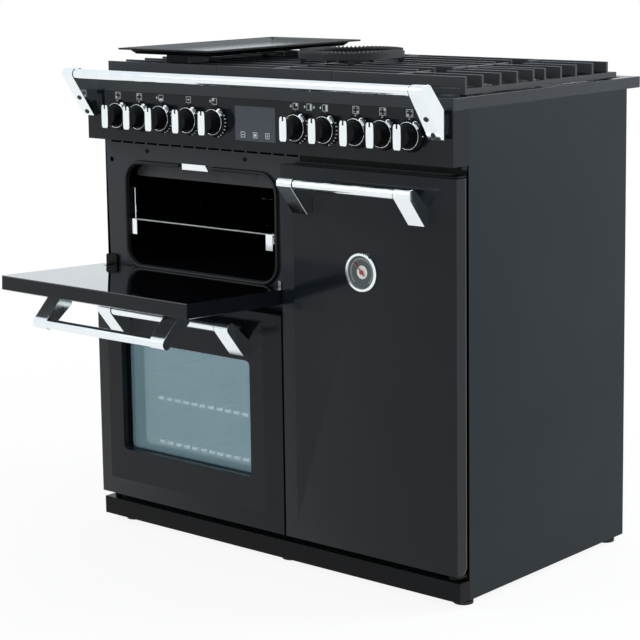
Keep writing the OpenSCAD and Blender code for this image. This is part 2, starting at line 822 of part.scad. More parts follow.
// A ring that steadies a round-bottomed wok, its rim cut into fine teeth
module wok_ring() color(cast_iron) translate([wok_at.x, wok_at.y, 0]) {
    along_z(ring_z0, ring_z1 - 2.5) difference() {
        circle(102.5);
        circle(90);
    }
    along_z(ring_z1 - 3, ring_z1) difference() {
        circle(100);
        circle(86);
    }
    for (i = [0:wok_teeth - 1]) rotate(i * 360 / wok_teeth)
        along_x(86.2, 99.7) polygon([[-3.7, ring_z1 - 1], [3.7, ring_z1 - 1], [0, ring_z1 + 2.8]]);
    for (a = [50, 130, 222, 318]) rotate([0, 0, -a])
        block([88, -7, support_top + free_gap], [101, 7, ring_z0 + 1]);
}

module grill_shelf() color(chrome) {
    wire_shelf(grill[0] + 13, grill[2] - 14, -246, 126, grill_levels[0], 2);
    for (x = [grill[0] + 1, grill[2] - 28])
        block([x, -250, 592], [x + 17, -243, 622.5]);
}

// ---------------------------------------------------------------- gas, power and controls

// Supply pipe, taps behind the knobs and a pipe to each burner
module gas_manifold() color(steel) {
    rod_x(inlet_x, 430, -262, pipe_z, 6);
    translate([inlet_x, -262, pipe_z]) sphere(8.5);
    rod_y(inlet_x, -262, 258, pipe_z, 8);
    rod_y(inlet_x, 257, 284, pipe_z, inlet_r);
    for (i = gas_knobs)
        block([knob_xs[i] - 9, -271, knob_z - 12], [knob_xs[i] + 9, -256, pipe_z]);
    ends = [burners[1], burners[0], wok_at, burners[2], burners[3]];
    for (i = [0:4]) {
        x = pipe_xs[i];
        b = ends[i];
        rod_y(x, -262, b.y, pipe_z, pipe_r);
        if (x != b.x) rod_x(min(x, b.x), max(x, b.x), b.y, pipe_z, pipe_r - 0.4);
        translate([x, b.y, pipe_z]) sphere(pipe_r + 0.8);
        translate([b.x, b.y, pipe_z]) sphere(pipe_r + 0.8);
        rod_z(b.x, b.y, pipe_z, well_z - 11, pipe_r);
    }
}

// Box for the mains supply at the back, with the gland the lead comes out of
module terminal_box() color("#dfe1e0") difference() {
    union() {
        block([300, back_y - sheet_t, 95], [380, 284, 165]);
        rod_z(340, 266, 77, 96, 11);
    }
    block([302.5, back_y + 1, 97.5], [377.5, 281.5, 162.5]);
    rod_z(340, 266, 76, 98, 6);
}

module knob(i) {
    x = knob_xs[i];
    y = front_y - collar_d - free_gap;
    color("#17181a") {
        translate([x, y, knob_z]) rotate([90, 0, 0]) cylinder(r = knob_face_r, h = 3);
        translate([x, y - 2, knob_z]) rotate([90, 0, 0]) cylinder(r = 19.5, h = 24);
        rod_y(x, y - 1, -272, knob_z, 3);
    }
    color(chrome) difference() {
        block([x - grip_w / 2, -335, knob_z - grip_h / 2], [x + grip_w / 2, -328, knob_z + grip_h / 2]);
        block([x - 1.2, -336, knob_z + grip_h / 2 - 8], [x + 1.2, -333.4, knob_z + grip_h / 2 + 1]);
    }
}

module knob_1() knob(0);
module knob_2() knob(1);
module knob_3() knob(2);
module knob_4() knob(3);
module knob_5() knob(4);
module knob_6() knob(5);
module knob_7() knob(6);
module knob_8() knob(7);
module knob_9() knob(8);
module knob_10() knob(9);

side_panel_left();
side_panel_right();
back_panel();
base_tray();
plinth();
levelling_feet();
front_frame();
hob_tray();
fascia_panel();
display_glass();
rail_bar();
rail_brackets();
frame_screws();
knob_collars();
grill_cavity();
main_cavity();
tall_cavity();
cavity_gaskets();
door_catches();
grill_element();
shelf_ladders();
oven_shelves();
fan_covers();
oven_lamps();
burner_bases();
burner_caps();
gas_manifold();
terminal_box();
hinge_arms();
fan_motors();
main_oven_fan();
tall_oven_fan();
grill_door_outer();
grill_door_inner();
grill_handle();
main_door_outer();
main_door_inner();
main_door_glass();
main_handle();
tall_door_outer();
tall_door_inner();
tall_handle();
gauge_case();
gauge_needle();
pan_support_left();
pan_support_centre();
pan_support_right();
griddle_plate();
wok_ring();
grill_shelf();
knob_1();
knob_2();
knob_3();
knob_4();
knob_5();
knob_6();
knob_7();
knob_8();
knob_9();
knob_10();
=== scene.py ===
# %% [markdown]
# # A range cooker in black enamel and chrome
# The solids of the cooker come ready made, in metres, each in its place. This lesson dresses them.
# Pieces whose shape is right only get a finish. Pieces that need softer edges or finer detail are
# copied or rebuilt, and the copy takes the place of the solid.

# %% Load the solids
import json
import math

import bmesh
import bpy
from mathutils import Matrix, Vector

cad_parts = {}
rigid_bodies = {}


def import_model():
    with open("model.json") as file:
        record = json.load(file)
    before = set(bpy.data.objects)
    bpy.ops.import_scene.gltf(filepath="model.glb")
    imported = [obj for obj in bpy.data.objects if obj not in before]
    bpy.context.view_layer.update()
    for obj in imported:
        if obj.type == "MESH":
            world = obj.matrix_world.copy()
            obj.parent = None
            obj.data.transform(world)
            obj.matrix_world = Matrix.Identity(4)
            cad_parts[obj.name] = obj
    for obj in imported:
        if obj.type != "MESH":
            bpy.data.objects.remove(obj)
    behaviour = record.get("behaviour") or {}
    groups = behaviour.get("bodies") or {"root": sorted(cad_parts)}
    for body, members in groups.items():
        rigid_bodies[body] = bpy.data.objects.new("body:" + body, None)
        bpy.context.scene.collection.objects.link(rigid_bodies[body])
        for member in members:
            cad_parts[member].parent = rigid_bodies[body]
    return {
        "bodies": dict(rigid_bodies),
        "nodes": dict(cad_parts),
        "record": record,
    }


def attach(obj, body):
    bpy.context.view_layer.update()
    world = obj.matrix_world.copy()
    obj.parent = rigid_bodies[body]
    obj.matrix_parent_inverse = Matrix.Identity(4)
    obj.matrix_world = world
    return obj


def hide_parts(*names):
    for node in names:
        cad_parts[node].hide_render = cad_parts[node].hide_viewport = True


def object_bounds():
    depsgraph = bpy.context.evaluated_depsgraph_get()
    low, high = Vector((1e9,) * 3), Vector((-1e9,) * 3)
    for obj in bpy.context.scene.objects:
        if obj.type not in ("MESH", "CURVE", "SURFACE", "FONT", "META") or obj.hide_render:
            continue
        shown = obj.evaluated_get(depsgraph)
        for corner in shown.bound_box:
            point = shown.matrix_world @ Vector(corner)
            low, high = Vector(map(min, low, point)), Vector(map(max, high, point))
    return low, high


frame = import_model()
nodes = frame["nodes"]
cad_box = [[float(v) for v in corner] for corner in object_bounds()]
home = {n: b for b, names in frame["record"]["behaviour"]["bodies"].items() for n in names}
print(len(nodes), "solids on", len(frame["bodies"]), "bodies, box", cad_box)

# %% [markdown]
# ## A short way to write node trees
# Materials and Geometry Nodes are both trees of nodes. They can be wired by hand, one node and one
# link at a time, but a formula is easier to read. `Socket` wraps an output so that Python's own
# operators add Math nodes, and `Graph.add` makes any other node from its type, settings and inputs.

# %% Sockets that can be added and multiplied
class Socket:
    def __init__(self, graph, socket):
        self.graph = graph
        self.socket = socket

    def math(self, operation, *terms):
        made = self.graph.add("ShaderNodeMath", {"operation": operation}, dict(enumerate(terms)))
        return made["Value"]

    def __add__(self, other):
        return self.math("ADD", self, other)

    def __radd__(self, other):
        return self.math("ADD", other, self)

    def __sub__(self, other):
        return self.math("SUBTRACT", self, other)

    def __rsub__(self, other):
        return self.math("SUBTRACT", other, self)

    def __mul__(self, other):
        return self.math("MULTIPLY", self, other)

    def __rmul__(self, other):
        return self.math("MULTIPLY", other, self)

    def __gt__(self, other):
        return self.math("GREATER_THAN", self, other)

    def __lt__(self, other):
        return self.math("LESS_THAN", self, other)


class Outputs:
    def __init__(self, graph, node):
        self.graph = graph
        self.node = node

    def __getitem__(self, key):
        return Socket(self.graph, self.node.outputs[key])


# %% A graph that makes any node in one call
class Graph:
    def __init__(self, tree):
        self.tree = tree

    def link(self, source, target):
        self.tree.links.new(source.socket, target)

    def add(self, kind, settings=None, values=None):
        node = self.tree.nodes.new(kind)
        for key, value in (settings or {}).items():
            setattr(node, key, value)
        for key, value in (values or {}).items():
            if isinstance(value, Socket):
                self.link(value, node.inputs[key])
            else:
                node.inputs[key].default_value = value
        return Outputs(self, node)

    def place(self):
        return self.add("ShaderNodeTexCoord")["Object"]

    def stretched(self, scale):
        return self.add("ShaderNodeMapping", None, {"Vector": self.place(), "Scale": scale})["Vector"]

    def noise(self, scale, detail=2.0, rough=0.5, vector=None):
        values = {"Scale": scale, "Detail": detail, "Roughness": rough}
        values["Vector"] = vector or self.place()
        return self.add("ShaderNodeTexNoise", None, values)["Fac"]

    def span(self, value, low, high, to_low=0.0, to_high=1.0):
        values = {"Value": value, 1: low, 2: high, 3: to_low, 4: to_high}
        return self.add("ShaderNodeMapRange", {"clamp": True}, values)["Result"]

    def mix(self, factor, first, second):
        values = {0: factor, 6: first, 7: second}
        made = self.add("ShaderNodeMix", {"data_type": "RGBA"}, values)
        return Socket(self, made.node.outputs[2])

    def bump(self, height, strength, distance, normal=None):
        values = {"Height": height, "Strength": strength, "Distance": distance}
        if normal:
            values["Normal"] = normal
        return self.add("ShaderNodeBump", None, values)["Normal"]


def rgb(red, green, blue):
    """A colour written on the 0 to 255 scale, as the linear values that a shader mixes."""
    out = []
    for level in (red, green, blue):
        level = level / 255
        out.append(level / 12.92 if level <= 0.04045 else ((level + 0.055) / 1.055) ** 2.4)
    return (*out, 1.0)


print("helpers ready")

# %% A new material with its shader
finishes = {}


def new_finish(name, colour, rough, **constants):
    material = bpy.data.materials.new(name)
    material.use_nodes = True
    graph = Graph(material.node_tree)
    shader = material.node_tree.nodes["Principled BSDF"]
    shader.inputs["Base Color"].default_value = colour
    shader.inputs["Roughness"].default_value = rough
    for key, value in constants.items():
        shader.inputs[key.replace("_", " ")].default_value = value
    material.diffuse_color = colour
    finishes[name] = material
    print("finish", name)
    return graph, shader


def wire(graph, shader, **links):
    for key, value in links.items():
        graph.link(value, shader.inputs[key.replace("_", " ")])


# %% [markdown]
# ## The camera
# The photograph was taken with a long lens from the right, a little above the hob. The same view
# is kept by giving the camera the lens, the place and the three angles found from edges and corners
# of the cooker. The fit also puts the lens's axis beside the picture's middle, hence the shift.

# %% Set the camera
picture = 640
focal_px, centre_px, centre_py = 1981.0, 308.6, 235.1
camera_place = (2.4459, -2.9554, 1.1795)
yaw, pitch, roll = (math.radians(a) for a in (41.115, 8.695, -0.84))
ahead = Vector((-math.sin(yaw) * math.cos(pitch), math.cos(yaw) * math.cos(pitch), -math.sin(pitch)))
right = Vector((math.cos(yaw), math.sin(yaw), 0.0))
above = right.cross(ahead)
side = right * math.cos(roll) + above * math.sin(roll)
top = above * math.cos(roll) - right * math.sin(roll)
lens = bpy.data.cameras.new("camera")
lens.sensor_width = 36.0
lens.lens = focal_px * lens.sensor_width / picture
lens.shift_x = (picture / 2 - centre_px) / picture
lens.shift_y = (centre_py - picture / 2) / picture
lens.clip_end = 60.0
camera = bpy.data.objects.new("camera", lens)
turn = Matrix((side, top, -ahead)).transposed().to_4x4()
camera.matrix_world = Matrix.Translation(camera_place) @ turn
bpy.context.scene.collection.objects.link(camera)
bpy.context.scene.camera = camera
print("lens", round(lens.lens, 2), "mm, shift", round(lens.shift_x, 4), round(lens.shift_y, 4))

# %% [markdown]
# ## Floor, background and light
# A product photograph is taken on white paper in a room of soft white light. The floor is pale and
# plain and keeps the shadow. The world is at full strength to the camera and in reflections, so that
# chrome mirrors a bright room, and weaker where it lights the cooker, so that colours look as
# written. Its light is a touch blue, and only what the camera sees of it directly is pure white.

# %% Lay the floor
def new_object(name, mesh):
    piece = bpy.data.objects.new(name, mesh)
    bpy.context.scene.collection.objects.link(piece)
    return piece


def lit_factor(graph, camera_share):
    path = graph.add("ShaderNodeLightPath")
    seen = path["Is Camera Ray"] + path["Is Glossy Ray"] + path["Is Transmission Ray"]
    return seen.math("MINIMUM", seen, 1.0) * camera_share


floor_mesh = bpy.data.meshes.new("floor")
reach = 9.0
corners = ((-reach, -reach), (reach, -reach), (reach, reach), (-reach, reach))
floor_mesh.from_pydata([(x, y, 0.0) for x, y in corners], [], [(0, 1, 2, 3)])
floor = new_object("floor", floor_mesh)
graph, shader = new_finish("floor_paper", rgb(236, 237, 237), 0.9)
grain = graph.noise(220.0, 3.0)
wire(graph, shader, Base_Color=graph.mix(grain, rgb(243, 244, 245), rgb(249, 250, 250)))
away = graph.add("ShaderNodeVectorMath", {"operation": "LENGTH"}, {0: graph.place()})["Value"]
shadow_end, paper_end = 0.55, 1.9
shine = graph.span(away, shadow_end, paper_end, 0.9, 1.0)
glow = graph.add("ShaderNodeEmission", None, {"Color": (1, 1, 1, 1), "Strength": 1.0})["Emission"]
body = Socket(graph, shader.outputs["BSDF"])
blend = graph.add("ShaderNodeMixShader", None, {0: lit_factor(graph, shine), 1: body, 2: glow})
graph.link(blend["Shader"], graph.tree.nodes["Material Output"].inputs["Surface"])
floor_mesh.materials.append(finishes["floor_paper"])
print("floor", 2 * reach, "m square")

# %% White room and soft lamps
world = bpy.data.worlds.new("white_room")
bpy.context.scene.world = world
world.use_nodes = True
graph = Graph(world.node_tree)
sky = world.node_tree.nodes["Background"]
seen = graph.add("ShaderNodeLightPath")["Is Camera Ray"]
graph.link(graph.mix(seen, (0.92, 0.965, 1.0, 1.0), (1.0, 1.0, 1.0, 1.0)), sky.inputs["Color"])
graph.link(lit_factor(graph, 0.38) + 0.62, sky.inputs["Strength"])


def soft_lamp(name, place, aim, size, power):
    data = bpy.data.lights.new(name, "AREA")
    data.shape = "RECTANGLE"
    data.size, data.size_y = size
    data.energy = power
    data.color = (0.93, 0.97, 1.0)
    lamp = bpy.data.objects.new(name, data)
    lamp.location = place
    lamp.rotation_euler = (Vector(aim) - Vector(place)).to_track_quat("-Z", "Y").to_euler()
    bpy.context.scene.collection.objects.link(lamp)
    return lamp


soft_lamp("key", (-2.4, -3.6, 3.6), (0.0, 0.0, 0.5), (2.4, 2.4), 70.0)
soft_lamp("fill", (2.0, 1.6, 1.9), (0.45, 0.3, 0.85), (1.2, 1.2), 56.0)
bpy.context.scene.view_settings.view_transform = "Standard"
print("room and lamps set")

# %% [markdown]
# ## Glossy enamel
# The front, the doors and the hob are pressed steel with fired black enamel. Enamel is glass, so it
# is smooth and mirrors at low angles, but it is never perfectly flat: it has a faint orange peel
# and a slow wave from the pressing. A noise in two sizes drives the bump, a third one changes the
# depth of the black a little and a fourth the gloss.

# %% Enamel
def enamel(name, dark, light, gloss, wave_height, **constants):
    """Fired enamel between two shades of black, its pressing wave so many metres high."""
    graph, shader = new_finish(name, dark, gloss, **constants)
    peel = graph.bump(graph.noise(620.0, 1.0), 0.05, 0.0002)
    wire(graph, shader,
         Base_Color=graph.mix(graph.noise(7.0, 3.0), dark, light),
         Roughness=graph.span(graph.noise(90.0, 4.0), 0.3, 0.7, gloss * 0.75, gloss * 1.4),
         Normal=graph.bump(graph.noise(16.0, 1.0), 0.10, wave_height, peel))


enamel("enamel", rgb(15, 20, 24), rgb(25, 29, 34), 0.12, 0.0016, Specular_IOR_Level=0.2)
enamel("frame_enamel", rgb(42, 46, 51), rgb(52, 56, 61), 0.2, 0.001, Specular_IOR_Level=0.25)
enamel("hob_enamel", rgb(30, 35, 39), rgb(40, 45, 49), 0.16, 0.0012, Specular_IOR_Level=0.34)
# Black enamel, made blacker and less glossy than the doors' as painted shade for the recess under the doors.
enamel("plinth_enamel_shaded", rgb(12, 13, 15), rgb(19, 20, 22), 0.22, 0.001, Specular_IOR_Level=0.1)
enamel("door_liner", rgb(13, 15, 17), rgb(20, 22, 25), 0.05, 0.0003, Specular_IOR_Level=0.4,
       Coat_Weight=1.0, Coat_Roughness=0.03)

# %% [markdown]
# ## Satin paint on the sides
# The side panels mirror nothing sharply in the photograph, so they are taken for painted steel and
# not for enamel: dark grey, with a satin sheen and the fine pebbled skin of powder paint.

# %% Side paint
graph, shader = new_finish("side_paint", rgb(34, 40, 44), 0.42, Specular_IOR_Level=0.1)
pebble = graph.noise(900.0, 2.0)
wire(graph, shader,
     Base_Color=graph.mix(graph.noise(5.0, 3.0), rgb(30, 36, 40), rgb(38, 44, 48)),
     Roughness=graph.span(pebble, 0.3, 0.7, 0.36, 0.48),
     Normal=graph.bump(pebble, 0.12, 0.0002))

# %% [markdown]
# ## Chrome
# Handles, rail, brackets and catches are polished and plated. Chrome is a mirror, so its look comes
# from the bright room. Its tint and roughness vary a little, as where it was wiped, and hair-fine
# polishing lines run along the bars.

# %% Chrome
graph, shader = new_finish("chrome", rgb(230, 239, 243), 0.08, Metallic=1.0)
lines = graph.noise(60.0, 2.0, vector=graph.stretched((1.0, 30.0, 30.0)))
wiped = graph.noise(34.0, 3.0)
wire(graph, shader,
     Base_Color=graph.mix(wiped, rgb(230, 238, 241), rgb(245, 250, 252)),
     Roughness=graph.span(wiped, 0.3, 0.7, 0.05, 0.13),
     Normal=graph.bump(lines, 0.03, 0.0002))

# %% [markdown]
# ## Bare and galvanised steel
# The back, the base and the motors can't be seen in the photograph. They are taken for zinc-coated
# sheet, which shows a pattern of flat crystals, and a Voronoi texture gives each crystal its own
# grey. The hinges, the gas pipes and the fans are plain steel with a fine grain and darker stains.

# %% Galvanised sheet and plain steel
graph, shader = new_finish("galvanised", rgb(150, 154, 156), 0.4, Metallic=0.9)
crystal = graph.add("ShaderNodeTexVoronoi", None, {"Vector": graph.place(), "Scale": 90.0})["Color"]
level = graph.add("ShaderNodeSeparateColor", None, {"Color": crystal})["Red"]
wire(graph, shader,
     Base_Color=graph.mix(level, rgb(138, 142, 145), rgb(172, 176, 178)),
     Roughness=graph.span(level, 0.0, 1.0, 0.32, 0.5),
     Normal=graph.bump(graph.noise(300.0, 3.0), 0.08, 0.0003))

graph, shader = new_finish("steel", rgb(150, 152, 152), 0.35, Metallic=1.0)
stain = graph.noise(45.0, 4.0)
wire(graph, shader,
     Base_Color=graph.mix(stain, rgb(126, 128, 128), rgb(176, 178, 178)),
     Roughness=graph.span(stain, 0.3, 0.7, 0.28, 0.45),
     Normal=graph.bump(graph.noise(400.0, 3.0), 0.08, 0.0003))

# %% [markdown]
# ## Oven enamel
# The ovens are lined with a coarser, speckled enamel. A cell texture, cut off near each cell's
# middle, leaves small pale flecks on a near-black ground. The grill's roof and walls look darker
# in the photograph, so they have their own, blacker version.

# %% Oven enamel
# The grill's blacker finish is also painted shade on the ladder rods deep in the grill.
for name, ground, spot, gloss in (("liner_enamel", 16, 70, 0.3), ("grill_enamel", 5, 22, 0.12)):
    graph, shader = new_finish(name, rgb(ground, ground + 1, ground + 3), 0.3, Specular_IOR_Level=gloss)
    cell = graph.add("ShaderNodeTexVoronoi", None, {"Vector": graph.place(), "Scale": 240.0})["Distance"]
    wire(graph, shader,
         Base_Color=graph.mix(cell < 0.16, rgb(ground, ground + 1, ground + 3),
                              rgb(spot, spot + 4, spot + 10)),
         Roughness=graph.span(graph.noise(60.0, 3.0), 0.3, 0.7, 0.26, 0.42),
         Normal=graph.bump(graph.noise(420.0, 2.0), 0.08, 0.0003))

# %% [markdown]
# ## Cast iron
# Pan supports, wok ring and burner caps are castings with matt enamel. Sand leaves a coarse grain,
# which one noise makes; a slow one makes some areas greyer. The tops of the pan supports are
# lighter in the photograph, so they have a finish of their own, and so do both faces of the
# griddle: a smooth, speckled coat inside and a black casting outside.

# %% Cast iron and the griddle's coating
graph, shader = new_finish("cast", rgb(40, 43, 46), 0.55, Specular_IOR_Level=0.35)
sand = graph.noise(520.0, 4.0, 0.6)
patch = graph.noise(24.0, 3.0)
wire(graph, shader,
     Base_Color=graph.mix(patch, rgb(35, 38, 41), rgb(48, 51, 54)),
     Roughness=graph.span(sand, 0.3, 0.7, 0.45, 0.65),
     Normal=graph.bump(sand, 0.3, 0.0006))

# A lighter cast finish for the support tops: partly wear, and partly a painted highlight where the tops catch
# the light.
graph, shader = new_finish("cast_wear_and_sheen", rgb(58, 64, 69), 0.34, Specular_IOR_Level=0.5)
rub = graph.noise(180.0, 4.0, 0.6)
wire(graph, shader,
     Base_Color=graph.mix(rub, rgb(50, 55, 60), rgb(72, 78, 84)),
     Roughness=graph.span(rub, 0.3, 0.7, 0.28, 0.44),
     Normal=graph.bump(rub, 0.15, 0.0004))

graph, shader = new_finish("griddle_coat", rgb(56, 63, 66), 0.22, Specular_IOR_Level=0.5,
                           Coat_Weight=0.6, Coat_Roughness=0.12)
speck = graph.add("ShaderNodeTexVoronoi", None, {"Vector": graph.place(), "Scale": 500.0})["Distance"]
wire(graph, shader,
     Base_Color=graph.mix(speck < 0.12, rgb(52, 59, 62), rgb(96, 101, 105)),
     Roughness=graph.span(graph.noise(40.0, 3.0), 0.3, 0.7, 0.18, 0.28),
     Normal=graph.bump(graph.noise(700.0, 2.0), 0.03, 0.0002))

graph, shader = new_finish("griddle_outside", rgb(11, 12, 13), 0.5, Specular_IOR_Level=0.15)
casting = graph.noise(480.0, 4.0, 0.6)
wire(graph, shader,
     Base_Color=graph.mix(casting, rgb(8, 9, 10), rgb(17, 18, 20)),
     Roughness=graph.span(casting, 0.3, 0.7, 0.45, 0.62),
     Normal=graph.bump(casting, 0.2, 0.0004))

# %% [markdown]
# ## Burner metal, rubber and plastic
# Burner heads are usually aluminium that heat has dulled. Gaskets and feet are black rubber with a
# soft, slightly dusty skin, and the terminal box is a moulded pale plastic.

# %% Burner alloy, rubber, plastic
graph, shader = new_finish("burner_alloy", rgb(150, 150, 148), 0.4, Metallic=1.0)
heat = graph.noise(60.0, 4.0)
wire(graph, shader,
     Base_Color=graph.mix(heat, rgb(128, 126, 122), rgb(172, 173, 172)),
     Roughness=graph.span(heat, 0.3, 0.7, 0.34, 0.5),
     Normal=graph.bump(graph.noise(500.0, 2.0), 0.1, 0.0003))

graph, shader = new_finish("rubber", rgb(24, 24, 25), 0.6, Specular_IOR_Level=0.35)
dust = graph.noise(160.0, 4.0)
wire(graph, shader,
     Base_Color=graph.mix(dust, rgb(19, 19, 20), rgb(36, 36, 37)),
     Roughness=graph.span(dust, 0.3, 0.7, 0.5, 0.7),
     Normal=graph.bump(dust, 0.15, 0.0003))

graph, shader = new_finish("plastic", rgb(205, 206, 203), 0.45)
skin = graph.noise(800.0, 2.0)
wire(graph, shader,
     Base_Color=graph.mix(graph.noise(12.0, 3.0), rgb(198, 199, 196), rgb(212, 213, 210)),
     Roughness=graph.span(skin, 0.3, 0.7, 0.4, 0.52),
     Normal=graph.bump(skin, 0.1, 0.0002))

# %% [markdown]
# ## Glass
# The window is built as two coated panes. Coated glass mirrors a teal tint of the bright room and
# lets the rest through, so each pane is a tinted mirror that is partly transparent. The inner pane
# has the stronger coat and hides more of the oven behind it.

# %% Window, display and lamp glass
for name, colour, share in (("pane_outer", (138, 171, 182), 0.26), ("pane_inner", (176, 194, 200), 0.5)):
    graph, shader = new_finish(name, rgb(*colour), 0.03, Metallic=1.0, Alpha=share)
    film = graph.noise(9.0, 2.0)
    wire(graph, shader,
         Base_Color=graph.mix(film, rgb(*(c - 4 for c in colour)), rgb(*(c + 4 for c in colour))),
         Roughness=graph.span(graph.noise(30.0, 3.0), 0.3, 0.7, 0.02, 0.05))

graph, shader = new_finish("display", rgb(62, 68, 75), 0.12, Specular_IOR_Level=0.3)
haze = graph.noise(60.0, 3.0)
wire(graph, shader,
     Base_Color=graph.mix(haze, rgb(60, 66, 73), rgb(69, 75, 82)),
     Roughness=graph.span(haze, 0.3, 0.7, 0.1, 0.18),
     Normal=graph.bump(graph.noise(1200.0, 1.0), 0.04, 0.0001))

graph, shader = new_finish("lamp_glass", rgb(214, 220, 222), 0.1, Alpha=0.7)
ripple = graph.noise(120.0, 2.0)
wire(graph, shader,
     Base_Color=graph.mix(ripple, rgb(204, 211, 214), rgb(224, 229, 230)),
     Roughness=graph.span(ripple, 0.3, 0.7, 0.06, 0.14),
     Normal=graph.bump(ripple, 0.2, 0.0006))

# %% [markdown]
# ## Small parts
# The grill's heater rods are oxidised steel sheathing, the knobs a hard satin black plastic, and the
# thermometer has a printed face and a red needle.

# %% Heater, knob, gauge and needle
graph, shader = new_finish("heater", rgb(48, 50, 52), 0.5, Metallic=0.3)
oxide = graph.noise(70.0, 4.0)
wire(graph, shader,
     Base_Color=graph.mix(oxide, rgb(40, 41, 43), rgb(60, 61, 63)),
     Roughness=graph.span(oxide, 0.3, 0.7, 0.42, 0.62),
     Normal=graph.bump(graph.noise(600.0, 3.0), 0.15, 0.0003))

graph, shader = new_finish("knob", rgb(13, 14, 15), 0.42, Specular_IOR_Level=0.12)
touch = graph.noise(55.0, 4.0)
wire(graph, shader,
     Base_Color=graph.mix(touch, rgb(10, 11, 12), rgb(16, 17, 18)),
     Roughness=graph.span(touch, 0.3, 0.7, 0.36, 0.5),
     Normal=graph.bump(graph.noise(900.0, 2.0), 0.08, 0.0002))

graph, shader = new_finish("gauge", rgb(66, 76, 76), 0.3)
print_grain = graph.noise(500.0, 3.0)
wire(graph, shader,
     Base_Color=graph.mix(print_grain, rgb(60, 70, 70), rgb(72, 82, 82)),
     Roughness=graph.span(print_grain, 0.3, 0.7, 0.26, 0.36),
     Normal=graph.bump(print_grain, 0.05, 0.0001))

graph, shader = new_finish("needle", rgb(164, 52, 50), 0.35)
coat = graph.noise(700.0, 2.0)
wire(graph, shader,
     Base_Color=graph.mix(coat, rgb(150, 44, 42), rgb(176, 62, 58)),
     Roughness=graph.span(coat, 0.3, 0.7, 0.3, 0.42),
     Normal=graph.bump(coat, 0.06, 0.0001))

# %% Black trim, print, painted glint, ceramic
graph, shader = new_finish("black_trim", rgb(10, 11, 12), 0.42, Specular_IOR_Level=0.12)
scuff = graph.noise(80.0, 4.0)
wire(graph, shader,
     Base_Color=graph.mix(scuff, rgb(7, 8, 9), rgb(15, 16, 17)),
     Roughness=graph.span(scuff, 0.3, 0.7, 0.34, 0.5),
     Normal=graph.bump(graph.noise(600.0, 2.0), 0.08, 0.0002))

graph, shader = new_finish("print_ink", rgb(214, 220, 223), 0.5)
dots = graph.noise(1500.0, 2.0)
wire(graph, shader,
     Base_Color=graph.mix(dots, rgb(208, 214, 217), rgb(226, 231, 233)),
     Roughness=graph.span(dots, 0.3, 0.7, 0.45, 0.6),
     Normal=graph.bump(dots, 0.05, 0.0001))

# Painted glint: a pale finish that glows, for the sleeves that paint the light caught along the shelves. One
# noise varies its colour and glow in patches.
graph, shader = new_finish("painted_glint", rgb(232, 238, 240), 0.25, Metallic=0.6, Emission_Strength=1.5)
glint_patches = graph.noise(140.0, 3.0)
wire(graph, shader,
     Base_Color=graph.mix(glint_patches, rgb(222, 230, 233), rgb(240, 244, 246)),
     Emission_Color=graph.mix(glint_patches, rgb(200, 212, 216), rgb(246, 250, 252)),
     Roughness=graph.span(glint_patches, 0.3, 0.7, 0.18, 0.34),
     Normal=graph.bump(glint_patches, 0.05, 0.0001))

graph, shader = new_finish("ceramic", rgb(226, 224, 216), 0.3)
craze = graph.noise(300.0, 3.0)
wire(graph, shader,
     Base_Color=graph.mix(craze, rgb(216, 213, 204), rgb(236, 234, 228)),
     Roughness=graph.span(craze, 0.3, 0.7, 0.25, 0.4),
     Normal=graph.bump(craze, 0.05, 0.0002))
print(len(finishes), "finishes")

# %% [markdown]
# ## Give each solid its finish
# A solid whose shape is right keeps its mesh. Its material slots are filled anew from this list.

# %% Finish for each solid
wears = {
    "enamel": ["fascia_panel", "grill_door_outer", "main_door_outer", "tall_door_outer"],
    "frame_enamel": ["front_frame"],
    "hob_enamel": ["hob_tray"],
    "plinth_enamel_shaded": ["plinth"],
    "door_liner": ["grill_door_inner", "main_door_inner", "tall_door_inner"],
    "side_paint": ["side_panel_left", "side_panel_right"],
    "galvanised": ["back_panel", "base_tray", "fan_motors"],
    "chrome": ["rail_bar", "rail_brackets", "frame_screws", "door_catches", "shelf_ladders",
               "oven_shelves", "grill_handle", "main_handle", "tall_handle", "grill_shelf"],
    "steel": ["hinge_arms", "gas_manifold", "main_oven_fan", "tall_oven_fan"],
    "liner_enamel": ["main_cavity", "tall_cavity", "fan_covers"],
    "grill_enamel": ["grill_cavity"],
    "cast": ["burner_caps", "pan_support_left", "pan_support_centre", "pan_support_right", "wok_ring"],
    "griddle_coat": ["griddle_plate"],
    "burner_alloy": ["burner_bases"],
    "rubber": ["cavity_gaskets", "levelling_feet"],
    "plastic": ["terminal_box"],
    "pane_outer": ["main_door_glass"],
    "display": ["display_glass"],
    "lamp_glass": ["oven_lamps"],
    "heater": ["grill_element"],
    "gauge": ["gauge_case"],
    "needle": ["gauge_needle"],
    "black_trim": ["knob_collars"],
    "knob": [f"knob_{i}" for i in range(1, 11)],
}
slot_of = {part["node"]: part["material_slot"] for part in frame["record"]["subparts"]}
finish_of = {}
for finish, names in wears.items():
    for name in names:
        finish_of[name] = finish
        nodes[name].data.materials.clear()
        nodes[name].data.materials.append(finishes[finish])
print(len(finish_of), "solids finished, without one:", sorted(set(nodes) - set(finish_of)))

# %% [markdown]
# ## Softer edges
# No pressed, cast or plated edge is knife sharp, and the thin line of light along a rounded edge is
# most of what the eye sees of it. The edges could be rounded in the solids, but a Bevel modifier on
# a welded copy does it at any width, and the solid stays as it is for the machine.

# %% Copy a solid and round its edges
def welded(node):
    """A new mesh from a solid's loose triangles, welded, its flat areas merged to single faces."""
    shape = bmesh.new()
    shape.from_mesh(nodes[node].data)
    bmesh.ops.remove_doubles(shape, verts=shape.verts, dist=2e-6)
    bmesh.ops.dissolve_limit(shape, angle_limit=math.radians(0.3), verts=shape.verts, edges=shape.edges)
    mesh = bpy.data.meshes.new(node + "_soft")
    shape.to_mesh(mesh)
    shape.free()
    return mesh


